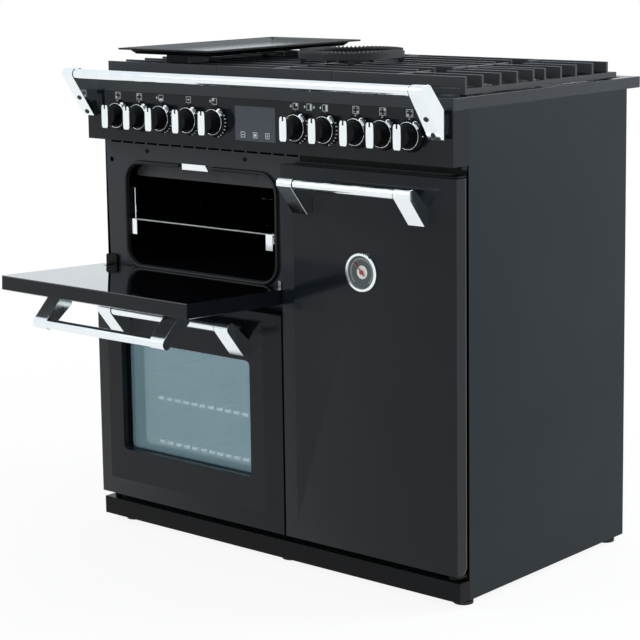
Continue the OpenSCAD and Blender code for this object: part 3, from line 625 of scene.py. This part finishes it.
def stand_for(piece, name):
    """The piece rides with this solid and hides it."""
    if not piece.data.materials:
        piece.data.materials.append(finishes[finish_of[name]])
    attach(piece, home[name])
    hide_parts(name)
    slot_of[name]
    return piece


def joins(piece, name):
    """An extra piece that rides with a solid and leaves it showing."""
    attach(piece, home[name])
    slot_of[name]
    return piece


def smooth(mesh, corner=35.0):
    for face in mesh.polygons:
        face.use_smooth = True
    mesh.set_sharp_from_angle(angle=math.radians(corner))


def rounded(piece, width, segments=2, corner=25.0):
    smooth(piece.data)
    bevel = piece.modifiers.new("edges", "BEVEL")
    bevel.width = width
    bevel.segments = segments
    bevel.limit_method = "ANGLE"
    bevel.angle_limit = math.radians(corner)
    bevel.harden_normals = True
    return piece


def softened(node, width, second=None, where=None):
    """A rounded copy of a solid; faces whose centre and normal pass the test take the second finish."""
    mesh = welded(node)
    if second:
        mesh.materials.append(finishes[finish_of[node]])
        mesh.materials.append(finishes[second])
        for face in mesh.polygons:
            face.material_index = int(where(face.center * 1000, face.normal))
    piece = new_object(node + "_soft", mesh)
    if width:
        rounded(piece, width)
    else:
        smooth(mesh)
    return stand_for(piece, node)


soft_edges = {
    "wok_ring": 0.0004, "rail_brackets": 0.0005, "grill_handle": 0.001, "main_handle": 0.001,
    "tall_handle": 0.001, "hob_tray": 0.0012, "fascia_panel": 0.0012, "side_panel_right": 0.001,
    "side_panel_left": 0.001, "grill_door_outer": 0.001, "main_door_outer": 0.001,
    "tall_door_outer": 0.001, "plinth": 0.001, "terminal_box": 0.0015,
}
for node, width in soft_edges.items():
    softened(node, width)
print(len(soft_edges), "solids with rounded edges")

# %% [markdown]
# ## Solids with two finishes
# Some solids are one piece for the machine but two finishes to the eye: two panes, plain hinge plates and
# hinge plates blacked as painted shade, a casting with tops lighter from wear and painted highlight, a burner
# with ceramic pins. The faces can be told apart by their place and direction, so a short test on both picks
# those that take the second finish.

# %% Tests that pick the second finish, in millimetres
between_panes_y = -275
tall_door_x, grill_hinge_x, grill_hinge_z = 100, -415, 520
support_top_z = 931
grill_low_z, ladder_front_y = 600, -225
shelf_front_y, shelf_ends = -242.5, (-366, -23)
griddle_rim_z, griddle_block_x = 957.5, -241
electrodes = [(-258, -118), (-248, 120), (322, -118), (343, 120), (67, -20)]
electrode_reach, electrode_top_z = 3.4, 903.5


def inner_pane(centre, normal):
    return centre.y > between_panes_y


# Hinge plates of the tall door, and at the top of the grill door, take the black finish: painted shade where
# they sit in dark gaps.
def shaded_hinge(centre, normal):
    return centre.x > tall_door_x or (centre.x < grill_hinge_x and centre.z > grill_hinge_z)


def support_top(centre, normal):
    return normal.z > 0.9 and centre.z > support_top_z


def in_grill_depth(centre, normal):
    return centre.z > grill_low_z and centre.x < 0 and centre.y > ladder_front_y


def shelf_rod(centre, normal):
    return centre.y < shelf_front_y and shelf_ends[0] < centre.x < shelf_ends[1]


def griddle_outer(centre, normal):
    outside = normal.z < 0.3 or centre.z > griddle_rim_z
    return outside and abs(centre.x - griddle_block_x) > 1


def ceramic_pin(centre, normal):
    nearest = min(math.hypot(centre.x - x, centre.y - y) for x, y in electrodes)
    return centre.z < electrode_top_z and nearest < electrode_reach


print("seven tests ready")

# %% Give them their two finishes
softened("main_door_glass", 0.0, "pane_inner", inner_pane)
# The hinge plates that sit in shade take the black finish: painted shade.
softened("hinge_arms", 0.0004, "black_trim", shaded_hinge)
# The support tops take the lighter finish: partly wear, partly painted highlight.
for node in ("pan_support_left", "pan_support_centre", "pan_support_right"):
    softened(node, 0.0009, "cast_wear_and_sheen", support_top)
# Ladder rods deep in the grill take the grill's blacker finish: painted shade.
softened("shelf_ladders", 0.0, "grill_enamel", in_grill_depth)
softened("grill_shelf", 0.0, "steel", shelf_rod)
softened("griddle_plate", 0.0009, "griddle_outside", griddle_outer)
softened("burner_bases", 0.0004, "ceramic", ceramic_pin)
print("panes, hinges, supports, ladders, grill shelf, griddle and burners have two finishes each")

# %% [markdown]
# ## Turned and cut parts
# Knobs, collars and the thermometer's ring are turned: a short outline spun round an axis. Grips and
# printed marks are cut: a flat outline given a thickness. The Screw modifier could spin and Solidify
# could thicken, but with two small functions many such shapes can be gathered in one mesh.

# %% Spin an outline, thicken an outline
def mm(*values):
    """Lengths in millimetres as metres."""
    return tuple(v / 1000 for v in values) if len(values) > 1 else values[0] / 1000


def turned(shape, centre, outline, slot=0, steps=44):
    """Spins (radius, y) points round the line along Y through centre (x, z), all in millimetres."""
    made = []
    rings = []
    for radius, y in outline:
        if radius == 0:
            rings.append([shape.verts.new(mm(centre[0], y, centre[1]))] * steps)
            continue
        turn = [2 * math.pi * i / steps for i in range(steps)]
        circle = [(centre[0] + radius * math.cos(a), centre[1] + radius * math.sin(a)) for a in turn]
        rings.append([shape.verts.new(mm(px, y, pz)) for px, pz in circle])
    for low, high in zip(rings, rings[1:]):
        for i in range(steps):
            j = (i + 1) % steps
            corners = [low[i], low[j], high[j], high[i]]
            corners = [v for k, v in enumerate(corners) if v not in corners[:k]]
            made.append(shape.faces.new(corners))
    for face in made:
        face.material_index = slot


def cut(shape, outline, y_front, y_back, slot=0):
    """A plate with a flat (x, z) outline, from y_front to y_back."""
    front = [shape.verts.new(mm(x, y_front, z)) for x, z in outline]
    back = [shape.verts.new(mm(x, y_back, z)) for x, z in outline]
    made = [shape.faces.new(front), shape.faces.new(list(reversed(back)))]
    for i in range(len(outline)):
        j = (i + 1) % len(outline)
        made.append(shape.faces.new([front[j], front[i], back[i], back[j]]))
    for face in made:
        face.material_index = slot


def gathered(shape, name, *finish_names):
    """Ends a mesh: faces turned outwards, one material slot for each finish."""
    bmesh.ops.recalc_face_normals(shape, faces=shape.faces)
    mesh = bpy.data.meshes.new(name)
    shape.to_mesh(mesh)
    shape.free()
    for finish in finish_names:
        mesh.materials.append(finishes[finish])
    return new_object(name, mesh)


def box_outline(x, z, width, height):
    return [(x - width / 2, z - height / 2), (x + width / 2, z - height / 2),
            (x + width / 2, z + height / 2), (x - width / 2, z + height / 2)]


def dot_outline(x, z, radius, tall=1.0, steps=14, lean=0.0):
    out = []
    for i in range(steps):
        a = 2 * math.pi * i / steps
        u, v = radius * math.cos(a), radius * tall * math.sin(a)
        out.append((x + u * math.cos(lean) - v * math.sin(lean), z + u * math.sin(lean) + v * math.cos(lean)))
    return out


print("turning and cutting ready")

# %% [markdown]
# ## Knobs
# Each knob is a black disc with a thin chrome edge, a black drum on it, and across the front a
# broad chrome grip with slightly bowed sides and a dark notch that points to the setting. All ten
# are alike, so one loop makes them and only the place changes.

# %% Ten knobs
knob_xs = [-360, -300.5, -241, -169, -101, 101, 169, 241, 300.5, 360]
knob_z = 833
fascia_y = -295
disc_and_drum = [(0, -303.4), (22.8, -303.4), (23.2, -306.2), (19.6, -306.4), (19.4, -326.4),
                 (18.4, -328.2), (0, -328.4)]
disc_edge = [(22.9, -303.5), (23.9, -303.7), (24.0, -306.2), (23.7, -306.6), (23.1, -306.3),
             (22.9, -303.5)]
knob_shaft = [(0, -272), (3, -272), (3, -303.6), (0, -303.6)]
grip_front_y, grip_back_y, notch_back_y = -335, -328, -330
notch_up, notch_wide, notch_tall = 18.3, 3.6, 8.0


def grip_outline(x, z):
    """A tall bar with bowed sides; its corners are rounded by the nip."""
    half_height, half_width, bow_depth, nip, side_points = 22.0, 8.5, 0.7, 1.7, 13
    right = []
    for i in range(side_points):
        t = -1 + 2 * i / (side_points - 1)
        height = z + t * half_height
        bow = half_width - bow_depth * t * t
        over = max(0.0, abs(t) * half_height - (half_height - nip))
        bow -= nip - math.sqrt(max(0.0, nip * nip - over * over))
        right.append((x + bow, height))
    return right + [(2 * x - px, pz) for px, pz in reversed(right)]


for i, x in enumerate(knob_xs):
    shape = bmesh.new()
    turned(shape, (x, knob_z), disc_and_drum)
    turned(shape, (x, knob_z), disc_edge, 1)
    cut(shape, grip_outline(x, knob_z), grip_front_y, grip_back_y, 1)
    notch = box_outline(x, knob_z + notch_up, notch_wide, notch_tall)
    cut(shape, notch, grip_front_y - 0.25, notch_back_y)
    turned(shape, (x, knob_z), knob_shaft)
    piece = rounded(gathered(shape, f"knob_{i + 1}_body", "knob", "chrome"), 0.0007, 2, 40.0)
    stand_for(piece, f"knob_{i + 1}")
print(len(knob_xs), "knobs")

# %% [markdown]
# ## Collars
# Behind each knob a flared black collar is fixed to the fascia. Pale marks on the right side of its rim are
# painted highlights, standing in for the glints of light on a fluted rim. The collar is open in the middle,
# where the knob's shaft turns, so its outline is a closed ring.

# %% Ten collars
collar_flare = [(5, -295), (29.2, -295), (29.4, -296.2), (27.0, -302.3), (26.2, -303), (5, -303), (5, -295)]
shape = bmesh.new()
for x in knob_xs:
    turned(shape, (x, knob_z), collar_flare)
stand_for(gathered(shape, "collars", "black_trim"), "knob_collars")
smooth(bpy.data.objects["collars"].data)
print(len(knob_xs), "collars")

# %% [markdown]
# ## Recipes for what repeats
# Marks on a circle, screws and shelf wires repeat by a rule: so many, so far apart, on a circle or on given
# points. Geometry Nodes state such a rule once, with named inputs. The result is turned into a plain mesh at
# the end, because the modifier isn't needed any more.

# %% Build and run a Geometry Nodes recipe
kinds = {float: "NodeSocketFloat", int: "NodeSocketInt", tuple: "NodeSocketVector"}


def new_recipe(name, **inputs):
    tree = bpy.data.node_groups.new(name, "GeometryNodeTree")
    tree.interface.new_socket("Geometry", in_out="INPUT", socket_type="NodeSocketGeometry")
    for label, value in inputs.items():
        socket = tree.interface.new_socket(label.replace("_", " "), in_out="INPUT",
                                           socket_type=kinds[type(value)])
        socket.default_value = value
    tree.interface.new_socket("Finish", in_out="INPUT", socket_type="NodeSocketMaterial")
    tree.interface.new_socket("Geometry", in_out="OUTPUT", socket_type="NodeSocketGeometry")
    graph = Graph(tree)
    return graph, graph.add("NodeGroupInput")


def serve(graph, given, shape):
    """The last steps of each recipe: real geometry instead of instances, then its material."""
    real = graph.add("GeometryNodeRealizeInstances", None, {"Geometry": shape})
    dressed = graph.add("GeometryNodeSetMaterial", None,
                        {"Geometry": real["Geometry"], "Material": given["Finish"]})
    graph.add("NodeGroupOutput", None, {"Geometry": dressed["Geometry"]})
    return graph.tree


def cook(name, recipe, mesh, finish, **values):
    """Runs a recipe on a mesh and keeps the result as a plain mesh."""
    raw = new_object(name + "_raw", mesh)
    modifier = raw.modifiers.new("recipe", "NODES")
    modifier.node_group = recipe
    values = {key.replace("_", " "): value for key, value in values.items()}
    values["Finish"] = finishes[finish]
    for item in recipe.interface.items_tree:
        if item.in_out == "INPUT" and item.name in values:
            modifier[item.identifier] = values[item.name]
    bpy.context.view_layer.update()
    made = bpy.data.meshes.new_from_object(raw.evaluated_get(bpy.context.evaluated_depsgraph_get()))
    bpy.data.objects.remove(raw)
    if not made.materials:
        made.materials.append(finishes[finish])
    return new_object(name, made)


def points(*places):
    mesh = bpy.data.meshes.new("points")
    mesh.from_pydata([mm(*p) for p in places], [], [])
    return mesh


print("recipes ready")

# %% [markdown]
# ## Marks round a centre
# The marks stand on a circle round each knob and round the thermometer's face. On the collars they are
# painted highlights, and on the thermometer a printed scale. A mesh circle gives the places, the direction
# from its middle turns each mark outwards, and the whole dial is then set on every point of the input mesh.

# %% Marks round a centre
graph, given = new_recipe("ring_of_marks", Count=24, Radius=0.02, Mark_Size=(0.003, 0.001, 0.001),
                          Last_Low=2, First_High=21)
ring = graph.add("GeometryNodeMeshCircle", None, {"Vertices": given["Count"], "Radius": given["Radius"]})
mark = graph.add("GeometryNodeMeshCube", None, {"Size": given["Mark Size"]})
outward = graph.add("FunctionNodeAlignRotationToVector", {"axis": "X"},
                    {"Vector": graph.add("GeometryNodeInputPosition")["Position"]})
index = graph.add("GeometryNodeInputIndex")["Index"]
kept = (index < given["Last Low"] + 0.5) + (index > given["First High"] - 0.5)
dial = graph.add("GeometryNodeInstanceOnPoints", None,
                 {"Points": ring["Mesh"], "Selection": kept, "Instance": mark["Mesh"],
                  "Rotation": outward["Rotation"]})
upright = graph.add("GeometryNodeTransform", None,
                    {"Geometry": dial["Instances"], "Rotation": (math.pi / 2, 0.0, 0.0)})
spread = graph.add("GeometryNodeInstanceOnPoints", None,
                   {"Points": given["Geometry"], "Instance": upright["Geometry"]})
marks_recipe = serve(graph, given, spread["Instances"])

# On the collars the pale marks are painted highlights: the glints of light on the right side of each rim.
collar_glint_sets = (("oven_marks", knob_xs[2:7], 26, 21), ("gas_marks", knob_xs[:2] + knob_xs[7:], 8, 8))
marks_y = -299.4
for name, dials, count, first_high in collar_glint_sets:
    marks = cook(name, marks_recipe, points(*((x, marks_y, knob_z) for x in dials)), "print_ink",
                 Count=count, Radius=mm(27.4), Mark_Size=mm(4.6, 1.7, 2.6), Last_Low=2, First_High=first_high)
    joins(marks, "knob_collars")
    print(name, len(marks.data.polygons), "faces")

# %% [markdown]
# ## Print on the fascia and the display
# Small signs over the knobs show what each one works: for the burners a hob with one spot larger
# than the others, for the ovens a box with its heated part filled. They are printed in pale ink. A
# picture on the panel could carry them, but thin plates need none and stay sharp at any distance.

# %% Signs
ink_thick = 0.2
ink_y = fascia_y - 0.12
ink_z = 871
ink_line = 0.8
arrow_x, between_x = -171.5, 130
arrow = [(-3.4, -0.7), (0.2, -0.7), (0.2, -2.4), (3.4, 0), (0.2, 2.4), (0.2, 0.7), (-3.4, 0.7)]


def inked(shape, outline, y=ink_y):
    cut(shape, outline, y, y + ink_thick)


def frame_sign(shape, x, z, width, height, line, y):
    for dz in (-height / 2, height / 2):
        inked(shape, box_outline(x, z + dz, width + line, line), y)
    for dx in (-width / 2, width / 2):
        inked(shape, box_outline(x + dx, z, line, height), y)


shape = bmesh.new()
spots = [(-3.8, 3.2), (3.8, 3.2), (-3.8, -3.2), (3.8, -3.2)]
hob_signs = [(-363, 2), (-304, 0), (237.5, 3), (298, 1), (357, 2)]
for x, lit in hob_signs:
    frame_sign(shape, x, ink_z, 14, 12.5, ink_line, ink_y)
    for k, (dx, dz) in enumerate(spots):
        inked(shape, dot_outline(x + dx, ink_z + dz, 2.1 if k == lit else 1.1))
oven_signs = [(-245, (0, -2.8, 9, 4), (-11,)), (-104, (-2.6, 2.6, 4.4, 4.2), (-11,)),
              (97, (2.6, 2.6, 4.4, 4.2), (-11,)), (between_x, (3.2, 0, 3.6, 9), (-11, 11)),
              (167, (3, 0, 4.2, 10), (-11,))]
for x, (dx, dz, width, height), sides in oven_signs:
    frame_sign(shape, x, ink_z, 12, 11, ink_line, ink_y)
    inked(shape, box_outline(x + dx, ink_z + dz, width, height))
    for side_x in sides:
        inked(shape, dot_outline(x + side_x, ink_z, 1.5, 1.7))
frame_sign(shape, arrow_x, ink_z, 12, 11, ink_line, ink_y)
inked(shape, [(x + arrow_x, z + ink_z) for x, z in arrow])
signs_over_knobs = [sign[0] for sign in hob_signs + oven_signs if sign[0] != between_x] + [arrow_x]
for x in signs_over_knobs:
    inked(shape, box_outline(x, ink_z - 9, ink_line, 3.2))
    inked(shape, dot_outline(x, ink_z - 12, 0.9))
joins(gathered(shape, "fascia_print", "print_ink"), "fascia_panel")
print(len(signs_over_knobs), "signs over knobs and one between")

# %% Painted highlight: a bright oval beside each knob, the reflection on its collar, as a thin chrome plate
shape = bmesh.new()
oval_right, oval_up, oval_radius, oval_tall, oval_steps = 17.6, 19.2, 8.0, 0.75, 20
oval_lean = math.radians(-34)
oval_front_y, oval_back_y = -303.34, -302.6
for x in knob_xs:
    oval = dot_outline(x + oval_right, knob_z + oval_up, oval_radius, oval_tall, oval_steps, oval_lean)
    cut(shape, oval, oval_front_y, oval_back_y)
joins(gathered(shape, "painted_highlight_ovals", "chrome"), "knob_collars")
print(len(knob_xs), "ovals")

# %% Keys on the display
shape = bmesh.new()
touch_y, touch_z = -295.5, 813
minus_x, dot_x, plus_x = -32.5, -2, 28
stroke, stroke_long = 1.1, 5
for x in (minus_x, dot_x, plus_x):
    frame_sign(shape, x, touch_z, 9.5, 9.5, 1.0, touch_y)
inked(shape, box_outline(minus_x, touch_z, stroke_long, stroke), touch_y)
inked(shape, dot_outline(dot_x, touch_z, 2.6), touch_y)
inked(shape, box_outline(plus_x, touch_z, stroke_long, stroke), touch_y)
cut(shape, box_outline(plus_x, touch_z, stroke, stroke_long), touch_y - 0.05, touch_y + ink_thick)
joins(gathered(shape, "display_print", "print_ink"), "display_glass")
print("three keys on the display")

# %% [markdown]
# ## Dark baffle above the tall door
# There is a black band above the tall door in the photograph. What makes it black isn't known. Here
# it is a long cooling slot, and a bent strip behind it hides the inside. The strip is left out of
# the solids, since it is only a shield for the eye: a web with two flanges that point backwards.

# %% Baffle behind the slot
baffle_x, baffle_long, baffle_front_y = 252, 374, -250.7
shape = bmesh.new()
# The black strip keeps the slot dark: painted shade behind the slot.
for z, height, y_back in ((773, 19, -250.1), (763.8, 1, -244), (782.2, 1, -244)):
    cut(shape, box_outline(baffle_x, z, baffle_long, height), baffle_front_y, y_back)
joins(rounded(gathered(shape, "slot_shade_baffle", "black_trim"), 0.0002), "front_frame")
print("baffle placed")

# %% [markdown]
# ## Thermometer
# A chrome ring holds a grey-green printed face with a pale recessed disc in its middle. The needle
# turns just in front. The scale leaves a gap and is made with the same recipe as the collar marks,
# so the gap is only a matter of which marks are kept.

# %% Thermometer
gauge_x, gauge_z, gauge_scale_y = 249.75, 584.5, -298.5
gauge_ring = [(35.0, -296), (35.0, -301.2), (34.0, -302.5), (30.2, -302.5), (29.6, -301.5), (29.6, -296),
              (35.0, -296)]
gauge_face = [(0, -296.2), (29.9, -296.2), (29.9, -298.4), (12.8, -298.4), (12.4, -297.0), (0, -297.0)]
gauge_disc = [(0, -297.05), (12.2, -297.05), (12.2, -297.4), (0, -297.4)]
gauge_probe = [(0, -244), (2.6, -244), (3.2, -246), (3.2, -295.5), (0, -295.5)]
shape = bmesh.new()
for outline, slot in ((gauge_ring, 1), (gauge_face, 0), (gauge_disc, 2), (gauge_probe, 1)):
    turned(shape, (gauge_x, gauge_z), outline, slot)
stand_for(gathered(shape, "gauge_body", "gauge", "chrome", "ceramic"), "gauge_case")
smooth(bpy.data.objects["gauge_body"].data)
scale = cook("gauge_scale", marks_recipe, points((gauge_x, gauge_scale_y, gauge_z)), "print_ink",
             Count=40, Radius=mm(24.5), Mark_Size=mm(3.2, 0.9, 0.3), Last_Low=25, First_High=35)
joins(scale, "gauge_case")
softened("gauge_needle", 0.0)
print(len(scale.data.polygons) // 6, "scale marks on the thermometer")

# %% [markdown]
# ## Screws
# The same cross-head screw holds the frame and the brackets, and is guessed for the back. The recipe
# cuts the cross out of a flat cylinder with a Boolean and sets the head on given points, tilted
# about X to face forwards, backwards or down the slope of a bracket.

# %% Cross-head screws
graph, given = new_recipe("cross_screws", Radius=0.004, Thickness=0.002, Tilt=0.0)
head = graph.add("GeometryNodeMeshCylinder", None,
                 {"Vertices": 20, "Radius": given["Radius"], "Depth": given["Thickness"]})
lifted = given["Thickness"] * 0.5
arm_long = given["Radius"] * 1.2
arm_thin = given["Radius"] * 0.3
bars = []
for size in ((arm_long, arm_thin), (arm_thin, arm_long)):
    extent = graph.add("ShaderNodeCombineXYZ", None, {"X": size[0], "Y": size[1], "Z": given["Thickness"]})
    bar = graph.add("GeometryNodeMeshCube", None, {"Size": extent["Vector"]})
    rise = graph.add("ShaderNodeCombineXYZ", None, {"Z": lifted})
    bars.append(graph.add("GeometryNodeTransform", None,
                          {"Geometry": bar["Mesh"], "Translation": rise["Vector"]}))
cross = graph.add("GeometryNodeMeshBoolean", {"operation": "DIFFERENCE"}, {"Mesh 1": head["Mesh"]})
for bar in bars:
    graph.link(bar["Geometry"], cross.node.inputs["Mesh 2"])
tilt = graph.add("ShaderNodeCombineXYZ", None, {"X": given["Tilt"]})
placed = graph.add("GeometryNodeInstanceOnPoints", None,
                   {"Points": given["Geometry"], "Instance": cross["Mesh"], "Rotation": tilt["Vector"]})
screw_recipe = serve(graph, given, placed["Instances"])

bracket_lean = math.radians(34.1)
bracket_x, rear_x = 426, 437
head_thick = mm(1.8)
forwards = math.pi / 2
on_slope = ((-338.8, 866.9), (-319.6, 838.6))
bracket_places = [(side * bracket_x, y, z) for side in (-1, 1) for y, z in on_slope]
front_places = [(x, -252.9, 760) for x in (-330.5, -70)]
rear_places = [(side * rear_x, 249.9, z) for side in (-1, 1) for z in (100, 450, 800)]
screws = [cook("bracket_screws", screw_recipe, points(*bracket_places), "heater",
               Radius=mm(4.8), Thickness=head_thick, Tilt=forwards + bracket_lean),
          cook("front_screws", screw_recipe, points(*front_places), "black_trim",
               Radius=mm(4.0), Thickness=head_thick, Tilt=forwards),
          cook("rear_screws", screw_recipe, points(*rear_places), "steel",
               Radius=mm(4.0), Thickness=head_thick, Tilt=-forwards)]
for piece in screws:
    stand_for(piece, "frame_screws")
    print(piece.name, len(piece.data.polygons), "faces")

# %% [markdown]
# ## Door gaskets
# A soft rubber tube runs round each oven's mouth. It follows a path, so the recipe turns a closed
# line into a curve and sweeps a round profile along it. At the grill it stops on both sides of the
# striker plate.

# %% Gaskets
def mouth_path(left, low, right_side, high, radius, grow, gap=None):
    """Points along a rounded rectangle, from the right end of the gap round to its left end."""
    left, low = left - grow, low - grow
    right_side, high, radius = right_side + grow, high + grow, radius + grow
    start = gap or ((left + right_side) / 2, (left + right_side) / 2)
    out = [(start[1], high)]
    corners = [(right_side - radius, high - radius, 90), (right_side - radius, low + radius, 0),
               (left + radius, low + radius, -90), (left + radius, high - radius, -180)]
    for cx, cz, first in corners:
        for i in range(9):
            a = math.radians(first - 90 * i / 8)
            out.append((cx + radius * math.cos(a), cz + radius * math.sin(a)))
    out.append((start[0], high))
    return out


def path_mesh(lines, y):
    mesh = bpy.data.meshes.new("path")
    verts, edges = [], []
    for line, closed in lines:
        base = len(verts)
        verts += [mm(x, y, z) for x, z in line]
        edges += [(base + i, base + i + 1) for i in range(len(line) - 1)]
        if closed:
            edges.append((len(verts) - 1, base))
    mesh.from_pydata(verts, edges, [])
    return mesh


graph, given = new_recipe("swept_tube", Radius=0.003, Sides=12)
line = graph.add("GeometryNodeMeshToCurve", None, {"Mesh": given["Geometry"]})
profile = graph.add("GeometryNodeCurvePrimitiveCircle", None,
                    {"Resolution": given["Sides"], "Radius": given["Radius"]})
tube = graph.add("GeometryNodeCurveToMesh", None,
                 {"Curve": line["Curve"], "Profile Curve": profile["Curve"], "Fill Caps": True})
tube_recipe = serve(graph, given, tube["Mesh"])

plate_gap = (-240, -153)
mouths = [((-385, 533, 6, 733, 35), plate_gap), ((-385, 112, 6, 455, 35), None),
          ((100, 112, 400, 715, 30), None)]
gasket_y, gasket_grow = -255.4, 4.4
lines = [(mouth_path(*size, gasket_grow, gap), gap is None) for size, gap in mouths]
tubes = cook("gasket_tubes", tube_recipe, path_mesh(lines, gasket_y), "rubber",
             Radius=mm(3.3), Sides=12)
smooth(tubes.data)
stand_for(tubes, "cavity_gaskets")
print(len(tubes.data.polygons), "faces of gasket")

# %% [markdown]
# ## Wire ends on the shelves
# Each wire of a shelf is bent down over the front rod. A line of points gives the places, spaced as
# the wires are, and a short rod hangs from each. The photograph shows a dashed line of light along
# each shelf behind the window. Its cause isn't known and real shelves have no sleeves there, but
# bright sleeves that give off some light imitate the look.

# %% Shelf wire ends
graph, given = new_recipe("hung_wires", Radius=0.0018, Drop=0.01, Turn=(0.0, 0.0, 0.0))
stub = graph.add("GeometryNodeMeshCylinder", None,
                 {"Vertices": 10, "Radius": given["Radius"], "Depth": given["Drop"]})
hung = graph.add("GeometryNodeInstanceOnPoints", None,
                 {"Points": given["Geometry"], "Instance": stub["Mesh"], "Rotation": given["Turn"]})
wire_recipe = serve(graph, given, hung["Instances"])


def wire_places(left, right_side, y, z, shift=0.0, count=15):
    step = (right_side - left) / (count + 1)
    return [(left + step * (i + 1 + shift), y, z) for i in range(count)]


shelf_levels = [(-373, -6, z) for z in (167, 257)] + [(112, 388, z) for z in (230, 405, 584)]
ends_y, ends_drop, rod_y = -222.6, 3, -220
oven_places = [p for left, end, z in shelf_levels for p in wire_places(left, end, ends_y, z - ends_drop)]
between = [p for left, end, z in shelf_levels for p in wire_places(left, end, rod_y, z, 0.5)]
ends = cook("shelf_wire_ends", wire_recipe, points(*oven_places), "chrome", Radius=mm(1.6), Drop=mm(9))
smooth(ends.data)
joins(ends, "oven_shelves")
# The sleeves glow: a painted highlight for the dashed line of light along each shelf.
sleeves = cook("shelf_glint_sleeves", wire_recipe, points(*between), "painted_glint", Radius=mm(3.3), Drop=mm(15),
               Turn=(0.0, math.pi / 2, 0.0))
smooth(sleeves.data)
joins(sleeves, "oven_shelves")
print(len(oven_places), "wire ends,", len(between), "sleeves")

# %% [markdown]
# ## Small black rings on the handles
# Where a handle's bar enters its end caps there is a thin black washer, as on the guard rail. A
# washer is four rings of points joined in turn.

# %% Washers
washer_wide, washer_inner, washer_sides = 1.4, 9.3, 32


def washer(shape, x, y, z, outer):
    turn = [2 * math.pi * i / washer_sides for i in range(washer_sides)]
    rings = []
    for radius, dx in ((washer_inner, 0), (outer, 0), (outer, washer_wide), (washer_inner, washer_wide)):
        rings.append([shape.verts.new(mm(x + dx, y + radius * math.cos(a), z + radius * math.sin(a)))
                      for a in turn])
    for low, high in zip(rings, rings[1:] + rings[:1]):
        for i in range(washer_sides):
            j = (i + 1) % washer_sides
            shape.faces.new([low[i], low[j], high[j], high[i]])


handles = {"main_handle": (-376, -28, 456), "tall_handle": (99.75, 399.75, 737)}
handle_y, cap_long = -343, 35
for name, (first, last, z) in handles.items():
    shape = bmesh.new()
    for x in (first + cap_long, last - cap_long - washer_wide):
        washer(shape, x, handle_y, z, 10.2)
    joins(gathered(shape, name + "_washers", "black_trim"), name)
rail_y, rail_z, rail_end = -358.5, 915.5, 412
shape = bmesh.new()
for x in (-rail_end, rail_end - washer_wide):
    washer(shape, x, rail_y, rail_z, 10.0)
joins(gathered(shape, "rail_washers", "black_trim"), "rail_bar")
print("washers set")

# %% [markdown]
# ## Finish
# The view layer is brought up to date at the end.

# %% Bring the view layer up to date
bpy.context.view_layer.update()
